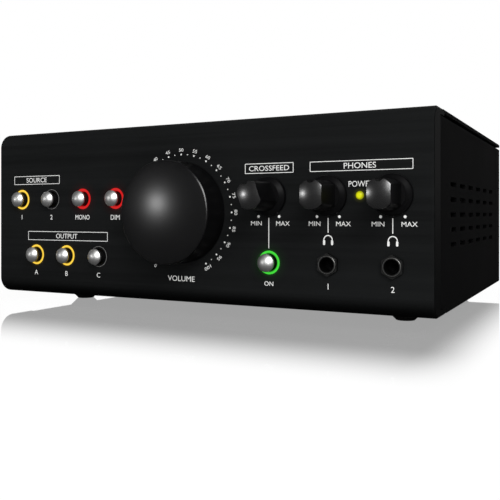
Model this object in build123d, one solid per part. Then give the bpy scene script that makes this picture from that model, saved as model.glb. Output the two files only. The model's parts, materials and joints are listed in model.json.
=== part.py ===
from build123d import *
from math import sqrt
import os

os.makedirs("parts", exist_ok=True)

# A desk-top studio monitor controller. The front faces -Y, +X is to the right seen from the front,
# and the origin is on the table under the middle of the whole outline.
# "depth" is measured back from the front face, "height" up from the front's lower edge.

# ---------------------------------------------------------------- driving dimensions, millimetres
# Case
case_width = 237.0
case_depth = 180.0
front_height = 86.0
foot_height = 7.2
lip_drop = 0.5
sheet = 1.5
seam = 0.15
corner_relief = 5.0
cut_past = 1.0

# Front bezel
bezel_wall = 3.0
bezel_radius = 8.0
bezel_end_chamfer = 0.8
top_lip_depth = 18.0
lower_lip_depth = 22.0
cheek_depth = 11.0
tongue_reach = 8.0
bezel_screw_depth = 14.5
bezel_screw_edge = 23.5
bezel_screw_pair = 64.0

# Top cover
cover_thickness = 2.0
cover_edge_chamfer = 0.5
shadow_gap = 1.5
shadow_inset = 3.0
cover_overhang = 0.6
cover_flange_height = 10.0
top_flange_width = 12.0
cover_screw_front = 42.0
cover_screw_rear = 26.0

# Rear panel fixing
rear_flange_width = 10.0
rear_screw_edge = 7.0
rear_screw_low = 14.0
rear_screw_drop = 14.5
rear_top_screw_pair = 110.0

# Vent slots in each side wall
slot_length = 12.5
slot_width = 2.0
slot_columns = 6
slot_rows = 5
slot_column_pitch = 21.5
slot_row_pitch = 6.6
slot_first_depth = 37.3
slot_top_height = 55.2

# Feet
foot_edge_inset = 23.0
front_foot_depth = 43.0
rear_foot_inset = 25.0
foot_top_radius = 8.7
foot_tread_radius = 4.65
foot_tread_rim = 1.4
foot_bevel = 0.3
foot_collar = 2.9

# Screws: one metric size for the case and boards, one larger for the feet
screw_radius = 1.45
screw_head_radius = 2.8
screw_head_height = 1.7
screw_cross_length = 3.4
screw_cross_width = 0.7
thread_gap = 0.05
foot_screw_radius = 1.95
foot_screw_grip = 2.5
screw_grip = 3.5

# Boards
board = 1.6
board_gap = 0.8
control_board_depth = 14.0
control_board_drop = 8.0
control_board_side_gap = 6.5
main_board_front = 6.0
main_board_side_gap = 10.5
main_board_rear_gap = 3.5
boss_length = 3.0
boss_radius = 3.2
spacer_flats = 5.0
control_screw_edge = 12.5
control_screw_middle_height = 34.0
control_screw_low_xs = (-22.0, 24.0)
main_screw_edge = 20.5
main_screw_ahead = 5.5
main_screw_rear = 40.0

# Rows and columns of the front's controls
upper_row = 50.0
lower_row = 20.9
button_pitch = 21.0
source_edge = 16.5
output_edge = 26.9
level_edge = 16.7
level_pitch = 27.9

# Volume control
volume_knob_radius = 23.8
volume_knob_reach = 15.0
volume_crown = 2.2
volume_edge_round = 1.2
volume_wall = 2.2
volume_rib = 1.2
volume_pot_radius = 8.5
volume_pot_foot = (10.0, 4.0)
volume_shaft_cover = 2.5
volume_mark_width = 1.2
volume_mark_depth = 0.5
volume_rest_turn = -150.0

# Small level controls, and how far each is turned at rest
level_rest_turns = {"crossfeed": -20.0, "phones_1": 0.0, "phones_2": 0.0}
level_knob_reach = 20.0
level_shaft_cover = 4.0
level_pot_width = 11.0
grip_root_radius = 6.3
grip_tip_radius = 6.0
grip_half_width = 4.7
grip_crown = 0.8
grip_root_round = 1.5
grip_edge_round = 0.5
grip_notch_radius = 1.7
grip_notch_depth = 1.4
skirt_radius = 8.65
skirt_edge = 1.6
skirt_edge_round = 0.8
skirt_height = 4.4

# Potentiometer bushes, nuts and shafts
bush_radius = 3.5
bush_reach = 3.1
bush_chamfer = 0.4
pot_nut_flats = 10.0
pot_nut_corner = 1.06
pot_nut_height = 2.0
pot_nut_room = 0.5
shaft_radius = 3.0
shaft_flat = 1.5
shaft_end_gap = 3.5
running_gap = 0.04
knob_lift = 0.6
hub_radius = 5.0
hub_lift = 0.5

# Push buttons and their light rings
cap_radius = 3.95
cap_front = 5.4
cap_widest = 3.5
cap_back = 2.4
cap_edge_round = 0.6
stem_radius = 3.1
plunger_radius = 1.7
plunger_grip = 1.5
button_travel = 1.2
stop_gap = 0.5
ring_radius = 5.2
ring_bore = 3.55
ring_wall = 0.8
ring_flange_radius = 6.1
ring_flange = 1.0
ring_shelf_gap = 1.5
ring_end_gap = 1.1
switch_width = 5.8
switch_length = 5.0
ring_lamp_height = 0.8
ring_lamp_width = 2.0

# Power lamp
lamp_radius = 1.75
lamp_dome = 0.9
lamp_back = 6.0
lamp_lead_radius = 0.3
lamp_lead_pitch = 2.0

# Quarter-inch jacks
jack_bore = 3.2
jack_sleeve_radius = 3.95
jack_body_width = 14.6
jack_body_chamfer = 1.0
jack_body_length = 27.0
jack_bore_depth = 24.0
jack_socket_depth = 3.0
jack_nut_height = 1.6
jack_nut_flats = 8.7
jack_sleeve_proud = 0.35
jack_sleeve_chamfer = 0.25
jack_nut_corner = 1.13

# Rear connectors, in columns from the left end of the case seen from the front, and from its right end
output_jack_edge = 40.0
rear_jack_pitch = 25.0
rear_jack_count = 3
rear_jack_low = 28.0
rear_jack_rise = 30.0
rocker_edge = 22.5
usb_step = 22.0
phono_step = 21.0
input_step = 24.0
phono_pitch = 14.0
phono_radius = 4.15
phono_bore = 3.3
phono_plug_gap = 0.8
phono_contact = 1.65
phono_reach = 8.5
phono_collar_radius = 4.9
phono_collar_proud = 0.5
phono_wall = 1.5
phono_front = 12.0
phono_body = (13.0, 27.0)
usb_size = (12.0, 16.0, 11.0)
usb_cavity = (8.4, 7.8)
usb_cavity_depth = 9.0
usb_cavity_chamfer = 1.6
usb_tongue = (5.6, 3.2)
socket_proud = 0.4
inlet_size = (9.6, 13.0, 11.0)
inlet_nose_radius = 4.2
inlet_bore = 3.1
inlet_pin = 1.0
inlet_bore_depth = 9.5
rocker_height = 50.0
rocker_opening = (10.9, 16.6)
rocker_body = (13.0, 19.4)
rocker_body_depth = 14.0
rocker_floor = 4.0
rocker_flange = (15.4, 21.6)
rocker_flange_height = 1.6
rocker_flange_chamfer = 0.6
rocker_gap = 0.25
rocker_end_gap = 0.6
rocker_pivot_height = 0.4
rocker_tip = 3.6
rocker_dip = 1.9
rocker_side = 2.0
rocker_belly = 6.5
rocker_tilt = 10.0
rocker_pin_radius = 1.2
rocker_pin_reach = 0.7
rocker_blade = (4.0, 7.0, 0.8)
rocker_blade_pitch = 5.0

# Parts on the main board
capacitor_radius = 5.0
capacitor_height = 16.0
capacitor_groove = 0.4
capacitor_pitch = (14.0, 18.0)
capacitor_first = (32.5, 60.0)
filter_capacitor_inset = (34.5, 62.0)
chip_rows = 2
chip_columns = 4
chip_size = (10.0, 6.5, 3.4)
chip_bevel = 0.6
chip_pitch = (24.0, 20.0)
chip_first = (-30.0, 62.0)
relay_size = (20.0, 10.0, 10.5)
relay_gap = 34.0
regulator_inset = 30.5
sink_clearance = 12.8
regulator_size = (10.0, 4.4, 15.0)
regulator_lift = 5.0
regulator_tab = 1.2
regulator_case = 9.0
regulator_leg = (0.8, 0.6)
regulator_leg_pitch = 2.54
sink_size = (34.0, 14.0, 26.0)
sink_base = 3.0
sink_fins = 7
sink_fin = 1.4

# Ribbon cables and headers
ribbon_width = 24.0
ribbon_thickness = 1.0
header_length = 28.0
header_width = 6.0
header_height = 8.0
front_ribbon_x = -28.0
rear_ribbon_x = 2.0
ribbon_header_drop = 16.0
ribbon_run = 20.4
ribbon_bend = 6.0

# ---------------------------------------------------------------- derived places
front_y = -(case_depth + phono_reach - level_knob_reach) / 2
front_base = foot_height - lip_drop
half_width = case_width / 2
case_floor = lip_drop
floor_top = case_floor + sheet
cover_bottom = front_height - cover_thickness
wall_top = cover_bottom - shadow_gap
rear_inner = case_depth - sheet

volume_height = front_height / 2
source_x = source_edge - half_width
output_x = output_edge - half_width
phones_2_x = half_width - level_edge
phones_1_x = phones_2_x - level_pitch
crossfeed_x = phones_1_x - level_pitch
level_xs = {"crossfeed": crossfeed_x, "phones_1": phones_1_x, "phones_2": phones_2_x}
phones_jack_xs = (phones_1_x, phones_2_x)
lamp_x = (phones_1_x + phones_2_x) / 2
upper_buttons = ("source_1", "source_2", "mono", "dim")
output_buttons = ("output_a", "output_b", "output_c")
button_places = {}
for index, name in enumerate(upper_buttons):
    button_places[name] = (source_x + index * button_pitch, upper_row)
for index, name in enumerate(output_buttons):
    button_places[name] = (output_x + index * button_pitch, lower_row)
button_places["crossfeed"] = (crossfeed_x, lower_row)
ring_colours = {
    "amber": ("source_1", "output_a", "output_b"),
    "red": ("mono", "dim"),
    "green": ("crossfeed",),
    "clear": ("source_2", "output_c"),
}

main_board_top = lower_row - jack_body_width / 2
main_board_bottom = main_board_top - board
main_board_rear = rear_inner - main_board_rear_gap
control_board_top = front_height - control_board_drop
control_board_back = control_board_depth + board
upright_bottom = main_board_top + board_gap
jack_board_depth = rear_inner - jack_body_length
switch_face = control_board_depth - switch_length
shaft_end = control_board_depth - shaft_end_gap
volume_shaft_tip = volume_knob_reach - volume_shaft_cover
level_shaft_tip = level_knob_reach - level_shaft_cover
ribbon_header_height = control_board_top - ribbon_header_drop
front_ribbon_landing = control_board_back + header_height + ribbon_run
rear_ribbon_landing = jack_board_depth - board - header_height - ribbon_run

output_jack_xs = [output_jack_edge - half_width + index * rear_jack_pitch for index in range(rear_jack_count)]
rocker_x = half_width - rocker_edge
inlet_x = rocker_x
usb_x = inlet_x - usb_step
phono_x = usb_x - phono_step
input_jack_x = phono_x - input_step
rear_jack_heights = (rear_jack_low, rear_jack_low + rear_jack_rise)
rear_jack_places = [(x, h) for x in (*output_jack_xs, input_jack_x) for h in rear_jack_heights]
phono_height = sum(rear_jack_heights) / 2
phono_heights = (phono_height - phono_pitch / 2, phono_height + phono_pitch / 2)
inlet_height = main_board_top + inlet_size[2] / 2
rocker_pivot = case_depth + rocker_pivot_height

foot_x = half_width - foot_edge_inset
foot_depths = (front_foot_depth, case_depth - rear_foot_inset)
foot_places = [(x, d) for x in (-foot_x, foot_x) for d in foot_depths]
bezel_screw_x = half_width - bezel_screw_edge
bezel_screw_xs = (-bezel_screw_x, -bezel_screw_pair / 2, bezel_screw_pair / 2, bezel_screw_x)
bezel_screw_places = [(x, bezel_screw_depth) for x in bezel_screw_xs]
cover_screw_x = half_width - (top_flange_width + shadow_inset) / 2
cover_screw_last = case_depth - cover_screw_rear
cover_screw_depths = (cover_screw_front, (cover_screw_front + cover_screw_last) / 2, cover_screw_last)
cover_screw_places = [(x, depth) for x in (-cover_screw_x, cover_screw_x) for depth in cover_screw_depths]
rear_screw_x = half_width - rear_screw_edge
rear_screw_heights = (rear_screw_low, wall_top - rear_screw_drop)
rear_screw_places = [(x, h) for x in (-rear_screw_x, rear_screw_x) for h in rear_screw_heights]
rear_top_screw_height = wall_top - cover_flange_height / 2
rear_top_screw_places = [(side * rear_top_screw_pair / 2, rear_top_screw_height) for side in (-1, 1)]
main_screw_x = half_width - main_screw_edge
main_screw_depths = (front_foot_depth - main_screw_ahead, case_depth - main_screw_rear)
main_screw_places = [(x, depth) for x in (-main_screw_x, 0.0, main_screw_x) for depth in main_screw_depths]
control_screw_x = half_width - control_screw_edge
control_screw_top = control_board_top - boss_radius - seam
control_screw_places = [(x, control_screw_top) for x in (-control_screw_x, 0.0, control_screw_x)]
control_screw_places += [(-control_screw_x, control_screw_middle_height)]
control_screw_places += [(x, lower_row) for x in control_screw_low_xs]
capacitor_places = [(capacitor_first[0] - half_width + column * capacitor_pitch[0],
                     capacitor_first[1] + row * capacitor_pitch[1])
                    for column in range(2) for row in range(2)]
filter_capacitor_x = half_width - filter_capacitor_inset[0]
filter_capacitor_depth = case_depth - filter_capacitor_inset[1]
capacitor_places += [(filter_capacitor_x - column * capacitor_pitch[0], filter_capacitor_depth)
                     for column in range(2)]
chip_places = [(chip_first[0] + column * chip_pitch[0], chip_first[1] + row * chip_pitch[1])
               for column in range(chip_columns) for row in range(chip_rows)]
relay_depth = jack_board_depth - relay_gap - relay_size[1] / 2
sink_back = filter_capacitor_depth - capacitor_radius - sink_clearance
regulator_depth = sink_back - sink_size[1] - regulator_size[1] / 2
regulator_place = (half_width - regulator_inset, regulator_depth)


# ---------------------------------------------------------------- shape helpers
def slab(x_limits, depth_limits, height_limits):
    """A box between two limits each way."""
    size = [limits[1] - limits[0] for limits in (x_limits, depth_limits, height_limits)]
    middle = [(limits[1] + limits[0]) / 2 for limits in (x_limits, depth_limits, height_limits)]
    return Pos(middle[0], front_y + middle[1], front_base + middle[2]) * Box(*size)


def plate(x, depth_limits, height, size):
    """A box of a given width and height, centred on a control's place."""
    width, tall = size
    return slab((x - width / 2, x + width / 2), depth_limits, (height - tall / 2, height + tall / 2))


def on_board(x, depth, size):
    """A box standing on the main board."""
    width, deep, tall = size
    across = (x - width / 2, x + width / 2)
    along = (depth - deep / 2, depth + deep / 2)
    return slab(across, along, (main_board_top, main_board_top + tall))


def rod(x, height, radius, near, far):
    """A round bar along the depth, from near to far."""
    middle = Pos(x, front_y + (near + far) / 2, front_base + height)
    return middle * Rot(90, 0, 0) * Cylinder(radius, far - near)


def post(x, depth, radius, low, high):
    """A round upright bar from low to high."""
    return Pos(x, front_y + depth, front_base + (low + high) / 2) * Cylinder(radius, high - low)


def turned(x, height, outline):
    """A part turned about a line along the depth, from (radius, depth) points."""
    profile = make_face(Polyline(*outline, close=True))
    return Pos(x, front_y, front_base + height) * revolve(profile, Axis.Y)


def upright_turned(x, depth, outline):
    """A part turned about an upright line, from (radius, height) points."""
    profile = make_face(Polyline(*[(radius, 0, height) for radius, height in outline], close=True))
    return Pos(x, front_y + depth, front_base) * revolve(profile, Axis.Z)


def hex_bar(x, height, flats, near, far, corner_up=True):
    """A hexagonal bar along the depth, with two flats upright."""
    side = RegularPolygon(flats / 2, 6, major_radius=False, rotation=30 if corner_up else 0)
    bar = extrude(Plane.XZ * side, amount=-(far - near))
    return Pos(x, front_y + near, front_base + height) * bar


def crown(radius, base, rise):
    """Half outline of a shallow dome about the turning line: rim at depth -base, top at -base - rise."""
    ball = (radius**2 + rise**2) / (2 * rise)
    middle = sqrt(ball**2 - radius**2 / 4) - (ball - rise)
    return ThreePointArc((radius, -base), (radius / 2, -base - middle), (0, -base - rise))


def eased(profile, corners):
    """A flat outline with each corner named in corners rounded to its radius."""
    for point, radius in corners.items():
        profile = fillet(profile.vertices().sort_by_distance(point)[0], radius)
    return profile


def group(shapes):
    """Separate solids that share one node."""
    return Compound(children=[solid for shape in shapes for solid in shape.solids()])


def drilled(body, cutters):
    """The body with every cutter taken out."""
    for cutter in cutters:
        body -= cutter
    return body


# ---------------------------------------------------------------- casing
def front_bezel():
    """Thick front with rounded top and bottom, lips above and below, and cheeks at its ends."""
    body = slab((-half_width, half_width), (0, lower_lip_depth), (0, front_height))
    body = fillet(body.edges().filter_by(Axis.X).group_by(Axis.Y)[0], bezel_radius)
    rim = [edge for face in body.faces().filter_by(Axis.X) for edge in face.edges()]
    rear_y = front_y + lower_lip_depth
    body = chamfer([edge for edge in rim if edge.center().Y < rear_y - seam], bezel_end_chamfer)

    inner_x = half_width - bezel_wall
    past = lower_lip_depth + cut_past
    inner_heights = (bezel_wall, front_height - bezel_wall)
    pocket = slab((-inner_x, inner_x), (bezel_wall, past), inner_heights)
    pocket = fillet(pocket.edges().filter_by(Axis.X).group_by(Axis.Y)[0], bezel_radius - bezel_wall)
    body -= pocket
    body -= slab((-case_width, case_width), (cheek_depth, past), inner_heights)
    upper_half = (front_height / 2, front_height + cut_past)
    body -= slab((-case_width, case_width), (top_lip_depth, past), upper_half)

    for x, height in control_screw_places:
        body += rod(x, height, boss_radius, bezel_wall - seam, bezel_wall + boss_length)
        body -= rod(x, height, screw_radius + thread_gap, bezel_wall / 2, bezel_wall + boss_length + cut_past)

    places = [(0, volume_height, bush_radius)]
    places += [(x, upper_row, bush_radius) for x in level_xs.values()]
    places += [(x, height, ring_radius) for x, height in button_places.values()]
    places += [(x, lower_row, jack_sleeve_radius) for x in phones_jack_xs]
    places += [(lamp_x, upper_row, lamp_radius)]
    inside = bezel_wall + cut_past
    holes = [rod(x, height, radius + thread_gap, -cut_past, inside) for x, height, radius in places]
    holes += [countersunk(x, depth, 0, inside, 1, thread_gap) for x, depth in bezel_screw_places]
    return drilled(body, holes)


def countersunk(x, depth, face, tip, upward, gap=0.0):
    """A flat-head screw, or with a gap the hole for it: head flush with face, shank to tip."""
    head = screw_head_radius + gap
    shank = screw_radius + gap
    neck = face + screw_head_height * upward
    outline = [(0, face), (head, face), (shank, neck), (shank, tip), (0, tip)]
    return upright_turned(x, depth, outline)


def pan_screw(x, height, seat, tip):
    """A pan-head screw that enters from behind: head on its seat, shank forward to its tip."""
    head_top = seat + screw_head_height
    head = rod(x, height, screw_head_radius, seat, head_top)
    head = chamfer(head.edges().filter_by(GeomType.CIRCLE).sort_by(Axis.Y)[-1], screw_head_height / 3)
    body = head + rod(x, height, screw_radius, tip, seat + seam)
    cross_depths = (head_top - screw_cross_width, head_top + cut_past)
    for size in ((screw_cross_length, screw_cross_width), (screw_cross_width, screw_cross_length)):
        body -= plate(x, cross_depths, height, size)
    return body


def chassis_tray():
    """Folded sheet: floor, two slotted side walls, and tongues that slide inside the bezel."""
    wall_front = cheek_depth + seam
    floor_front = lower_lip_depth + seam
    lip_top = bezel_wall + seam
    tongue_front = cheek_depth - tongue_reach
    floor = slab((-half_width, half_width), (floor_front, case_depth), (case_floor, floor_top))
    riser = slab((-half_width, half_width), (floor_front, floor_front + sheet), (case_floor, lip_top + sheet))
    reach_x = half_width - bezel_wall - 2 * sheet
    shelf_depths = (floor_front - tongue_reach, floor_front + sheet)
    shelf = slab((-reach_x, reach_x), shelf_depths, (lip_top, lip_top + sheet))
    body = floor + riser + shelf
    for side in (-1, 1):
        outer = side * half_width
        inner = side * (half_width - sheet)
        tongue_outer = side * (half_width - bezel_wall - seam)
        tongue_inner = tongue_outer - side * sheet
        wall_x = sorted((outer, inner))
        body += slab(wall_x, (wall_front, floor_front + sheet), (lip_top, wall_top))
        body += slab(wall_x, (floor_front, case_depth), (case_floor, wall_top))
        body += slab(sorted((tongue_inner, outer)), (wall_front, wall_front + sheet), (lip_top, wall_top))
        tongue_heights = (lip_top + corner_relief, wall_top - sheet - corner_relief)
        body += slab(sorted((tongue_inner, tongue_outer)), (tongue_front, wall_front + sheet), tongue_heights)
        top_edge = side * (half_width - top_flange_width)
        flange_depths = (lower_lip_depth, rear_inner - corner_relief)
        body += slab(sorted((outer, top_edge)), flange_depths, (wall_top - sheet, wall_top))
        rear_edge = side * (half_width - sheet - rear_flange_width)
        rear_depths = (rear_inner - seam - sheet, rear_inner - seam)
        rear_heights = (floor_top + corner_relief, wall_top - corner_relief)
        body += slab(sorted((outer, rear_edge)), rear_depths, rear_heights)
        body -= vent_slots(side)

    bore = screw_radius + thread_gap
    foot_bore = foot_screw_radius + thread_gap
    floor_span = (case_floor - cut_past, floor_top + cut_past)
    shelf_span = (lip_top - cut_past, lip_top + sheet + cut_past)
    flange_span = (wall_top - sheet - cut_past, wall_top + cut_past)
    rear_span = (rear_inner - 2 * sheet - cut_past, rear_inner)
    holes = [post(x, depth, foot_bore, *floor_span) for x, depth in foot_places]
    holes += [post(x, depth, bore, *floor_span) for x, depth in main_screw_places]
    holes += [post(x, depth, bore, *shelf_span) for x, depth in bezel_screw_places]
    holes += [post(x, depth, bore, *flange_span) for x, depth in cover_screw_places]
    holes += [rod(x, height, bore, *rear_span) for x, height in rear_screw_places]
    return drilled(body, holes)


def vent_slots(side):
    """The grid of round-ended slots through one side wall."""
    slot = extrude(Plane.YZ * SlotOverall(slot_length, slot_width), amount=sheet + cut_past, both=True)
    cutters = []
    for column in range(slot_columns):
        for row in range(slot_rows):
            depth = slot_first_depth + column * slot_column_pitch
            height = slot_top_height - row * slot_row_pitch
            cutters.append(Pos(side * half_width, front_y + depth, front_base + height) * slot)
    return cutters


def top_cover():
    """Flat plate held off the walls by inset ribs, with a tongue under the bezel's top lip."""
    front = top_lip_depth + seam
    rear = case_depth + cover_overhang
    body = slab((-half_width, half_width), (front, rear), (cover_bottom, front_height))
    ends = body.edges().group_by(Axis.Z)[-1].filter_by(Axis.Y)
    rear_edge = body.edges().group_by(Axis.Z)[-1].filter_by(Axis.X).sort_by(Axis.Y)[-1:]
    body = chamfer(ends + rear_edge, cover_edge_chamfer)
    tongue_x = half_width - bezel_wall - corner_relief
    tongue_top = front_height - bezel_wall - seam
    tongue_depths = (front - tongue_reach, front + sheet)
    body += slab((-tongue_x, tongue_x), tongue_depths, (tongue_top - sheet, tongue_top))
    body += slab((-tongue_x, tongue_x), (front, front + sheet), (tongue_top - sheet, cover_bottom + seam))
    for side in (-1, 1):
        rib_x = sorted((side * (half_width - shadow_inset), side * (half_width - top_flange_width)))
        body += slab(rib_x, (lower_lip_depth, rear_inner - corner_relief), (wall_top, cover_bottom + seam))
    flange_x = half_width - top_flange_width - shadow_inset
    flange_depths = (rear_inner - seam - sheet, rear_inner - seam)
    body += slab((-flange_x, flange_x), flange_depths, (wall_top - cover_flange_height, cover_bottom + seam))
    holes = [countersunk(x, depth, front_height, wall_top - cut_past, -1, thread_gap)
             for x, depth in cover_screw_places]
    holes += [rod(x, height, screw_radius + thread_gap, rear_inner - 2 * sheet - cut_past, rear_inner)
              for x, height in rear_top_screw_places]
    return drilled(body, holes)


def rear_panel():
    """Flat plate with every connector's cut-out."""
    edge_x = half_width - sheet - seam
    body = slab((-edge_x, edge_x), (rear_inner, case_depth), (floor_top + seam, wall_top - seam))
    inside = rear_inner - cut_past
    outside = case_depth + cut_past
    places = [(x, height, jack_sleeve_radius) for x, height in rear_jack_places]
    places += [(phono_x, height, phono_collar_radius) for height in phono_heights]
    places += [(inlet_x, inlet_height, inlet_nose_radius)]
    places += [(x, height, screw_radius) for x, height in rear_screw_places + rear_top_screw_places]
    holes = [rod(x, height, radius + thread_gap, inside, outside) for x, height, radius in places]
    usb_width, _, usb_tall = usb_size
    usb_hole = (usb_width + 2 * seam, usb_tall + 2 * seam)
    holes += [plate(usb_x, (inside, outside), main_board_top + usb_tall / 2, usb_hole)]
    rocker_hole = (rocker_body[0] + 2 * seam, rocker_body[1] + 2 * seam)
    holes += [plate(rocker_x, (inside, outside), rocker_height, rocker_hole)]
    return drilled(body, holes)


def foot(x, depth):
    """Round rubber foot: wide at the tray, tapered to a smaller tread, recessed for its screw."""
    tread = -front_base
    outline = [
        (0, tread), (foot_tread_radius - foot_bevel, tread), (foot_tread_radius, tread + foot_bevel),
        (foot_top_radius, case_floor - foot_collar), (foot_top_radius, case_floor), (0, case_floor),
    ]
    body = upright_turned(x, depth, outline)
    body -= post(x, depth, foot_screw_radius + thread_gap, tread - cut_past, case_floor + cut_past)
    return body - post(x, depth, foot_tread_radius - foot_tread_rim, tread - cut_past, tread + foot_height / 2)


def foot_screw(x, depth):
    """Pan-head screw up through a foot into the tray floor."""
    seat = -front_base + foot_height / 2
    head = post(x, depth, foot_tread_radius - foot_tread_rim - seam, seat - screw_head_height, seat)
    return head + post(x, depth, foot_screw_radius, seat - seam, floor_top + foot_screw_grip)


# ---------------------------------------------------------------- boards and board parts
def main_board():
    """Board that lies over the tray floor and carries the phones jacks."""
    edge_x = half_width - main_board_side_gap
    body = slab((-edge_x, edge_x), (main_board_front, main_board_rear), (main_board_bottom, main_board_top))
    holes = [post(x, depth, screw_radius + thread_gap, main_board_bottom - cut_past, main_board_top + cut_past)
             for x, depth in main_screw_places]
    return drilled(body, holes)


def standoff(x, depth):
    """Hexagonal pillar between the tray floor and the main board."""
    side = RegularPolygon(spacer_flats / 2, 6, major_radius=False)
    body = extrude(side, amount=main_board_bottom - floor_top)
    body = Pos(x, front_y + depth, front_base + floor_top) * body
    return body - post(x, depth, screw_radius + thread_gap, floor_top - cut_past, main_board_bottom + cut_past)


def board_screw(x, depth):
    """Screw down through the main board into its standoff."""
    head = post(x, depth, screw_head_radius, main_board_top, main_board_top + screw_head_height)
    return head + post(x, depth, screw_radius, main_board_bottom - screw_grip, main_board_top + seam)


def control_board():
    """Upright board behind the front, cut away above the phones jacks."""
    edge_x = half_width - control_board_side_gap
    depths = (control_board_depth, control_board_back)
    body = slab((-edge_x, edge_x), depths, (upright_bottom, control_board_top))
    cut_left = phones_jack_xs[0] - jack_body_width / 2 - board_gap
    cut_top = lower_row + jack_body_width / 2 + board_gap
    body -= slab((cut_left, case_width), (0, lower_lip_depth), (0, cut_top))
    span = (control_board_depth - cut_past, control_board_back + cut_past)
    holes = [rod(x, height, screw_radius + thread_gap, *span) for x, height in control_screw_places]
    return drilled(body, holes)


def control_spacer(x, height):
    """Hexagonal spacer between a bezel boss and the control board."""
    near = bezel_wall + boss_length
    body = hex_bar(x, height, spacer_flats, near, control_board_depth)
    return body - rod(x, height, screw_radius + thread_gap, near - cut_past, control_board_depth + cut_past)


def jack_board():
    """Upright board that carries the rear jacks and the phono sockets."""
    left = min(output_jack_xs) - jack_body_width
    right = phono_x + phono_body[0]
    top = max(rear_jack_heights) + jack_body_width
    return slab((left, right), (jack_board_depth - board, jack_board_depth), (upright_bottom, top))


def capacitor(x, depth):
    """Electrolytic can with a rolled groove near its foot."""
    top = main_board_top + capacitor_height
    groove = main_board_top + 4 * capacitor_groove
    waist = capacitor_radius - capacitor_groove
    outline = [
        (0, main_board_top), (capacitor_radius, main_board_top), (capacitor_radius, groove - capacitor_groove),
        (waist, groove), (capacitor_radius, groove + capacitor_groove),
        (capacitor_radius, top - capacitor_groove), (waist, top), (0, top),
    ]
    return upright_turned(x, depth, outline)


def chip(x, depth):
    """Integrated circuit with bevelled flanks."""
    body = on_board(x, depth, chip_size)
    return chamfer(body.edges().group_by(Axis.Z)[-1], chip_bevel)


def heat_sink():
    """Finned bar standing on the main board with the regulator on its flat side."""
    x, depth = regulator_place
    width, deep, tall = sink_size
    back = depth + regulator_size[1] / 2
    body = on_board(x, back + sink_base / 2, (width, sink_base, tall))
    pitch = (width - sink_fin) / (sink_fins - 1)
    for index in range(sink_fins):
        fin_x = x - (width - sink_fin) / 2 + index * pitch
        body += on_board(fin_x, back + deep / 2, (sink_fin, deep, tall))
    return body


def regulator():
    """Three-legged regulator clamped to the heat sink."""
    x, depth = regulator_place
    width, deep, tall = regulator_size
    across = (x - width / 2, x + width / 2)
    low = main_board_top + regulator_lift
    back = depth + deep / 2
    body = slab(across, (back - regulator_tab, back), (low, low + tall))
    body += slab(across, (back - deep, back - regulator_tab + seam), (low, low + regulator_case))
    leg_width, leg_depth = regulator_leg
    for index in (-1, 0, 1):
        leg_x = x + index * regulator_leg_pitch
        body += on_board(leg_x, depth, (leg_width, leg_depth, regulator_lift + seam))
    return body


def board_header(x, depth):
    """Shrouded header standing on the main board."""
    return on_board(x, depth, (header_length, header_width, header_height))


def upright_header(x, face, outward):
    """Shrouded header on an upright board's inner face."""
    near, far = sorted((face, face + outward * header_height))
    return plate(x, (near, far), ribbon_header_height, (header_length, header_width))


def ribbon(x, start, landing):
    """Flat cable from an upright header, back or forward, and down to the main board's header."""
    away = 1 if landing > start else -1
    top = front_base + ribbon_header_height
    points = [
        (x, front_y + start, top),
        (x, front_y + (start + landing) / 2, top),
        (x, front_y + landing, top - abs(landing - start) / 2 - ribbon_bend),
        (x, front_y + landing, front_base + main_board_top + header_height),
    ]
    path = FilletPolyline(*points, radius=ribbon_bend)
    start_plane = Plane(origin=points[0], x_dir=(1, 0, 0), z_dir=(0, away, 0))
    return sweep(start_plane * Rectangle(ribbon_width, ribbon_thickness), path=path)


# ---------------------------------------------------------------- rotary controls
def pot_bush(x, height):
    """Threaded bush through the panel."""
    body = rod(x, height, bush_radius, -bush_reach, bezel_wall + seam)
    return chamfer(body.edges().filter_by(GeomType.CIRCLE).sort_by(Axis.Y)[0], bush_chamfer)


def shaft_well(x, height):
    """The running bore for a shaft, through a bush into the potentiometer's body."""
    return rod(x, height, shaft_radius + running_gap, -bush_reach - cut_past, shaft_end + stop_gap)


def volume_pot():
    """Round potentiometer body soldered to the control board by a square foot."""
    foot_width, foot_depth = volume_pot_foot
    body = rod(0, volume_height, volume_pot_radius, bezel_wall, control_board_depth)
    foot_depths = (control_board_depth - foot_depth, control_board_depth)
    body += plate(0, foot_depths, volume_height - volume_pot_radius, (foot_width, 2 * foot_depth))
    return body + pot_bush(0, volume_height) - shaft_well(0, volume_height)


def level_pot(x):
    """Square potentiometer body soldered to the control board."""
    body = plate(x, (bezel_wall, control_board_depth), upper_row, (level_pot_width, level_pot_width))
    body = chamfer(body.edges().filter_by(Axis.Y), bush_chamfer)
    return body + pot_bush(x, upper_row) - shaft_well(x, upper_row)


def nut(x, height, flats, corner, bore, near, far):
    """Hexagonal nut with corners turned to that share of its flats, and two flats upright."""
    body = hex_bar(x, height, flats, near, far)
    body &= rod(x, height, flats / 2 * corner, near, far)
    return body - rod(x, height, bore, near - cut_past, far + cut_past)


def pot_nuts():
    """The nuts that hold all four potentiometers to the panel."""
    places = [(0, volume_height)] + [(x, upper_row) for x in level_xs.values()]
    bore = bush_radius + thread_gap
    return group(nut(x, height, pot_nut_flats, pot_nut_corner, bore, -pot_nut_height, 0)
                 for x, height in places)


def turned_about(x, height, turn, body):
    """The body, modelled about the line through the origin, turned clockwise and put in its place."""
    return Pos(x, front_y, front_base + height) * Rot(0, turn, 0) * body


def bare_rod(radius, near, far):
    """A round bar along the depth about the line through the origin."""
    return Pos(0, (near + far) / 2, 0) * Rot(90, 0, 0) * Cylinder(radius, far - near)


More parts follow.
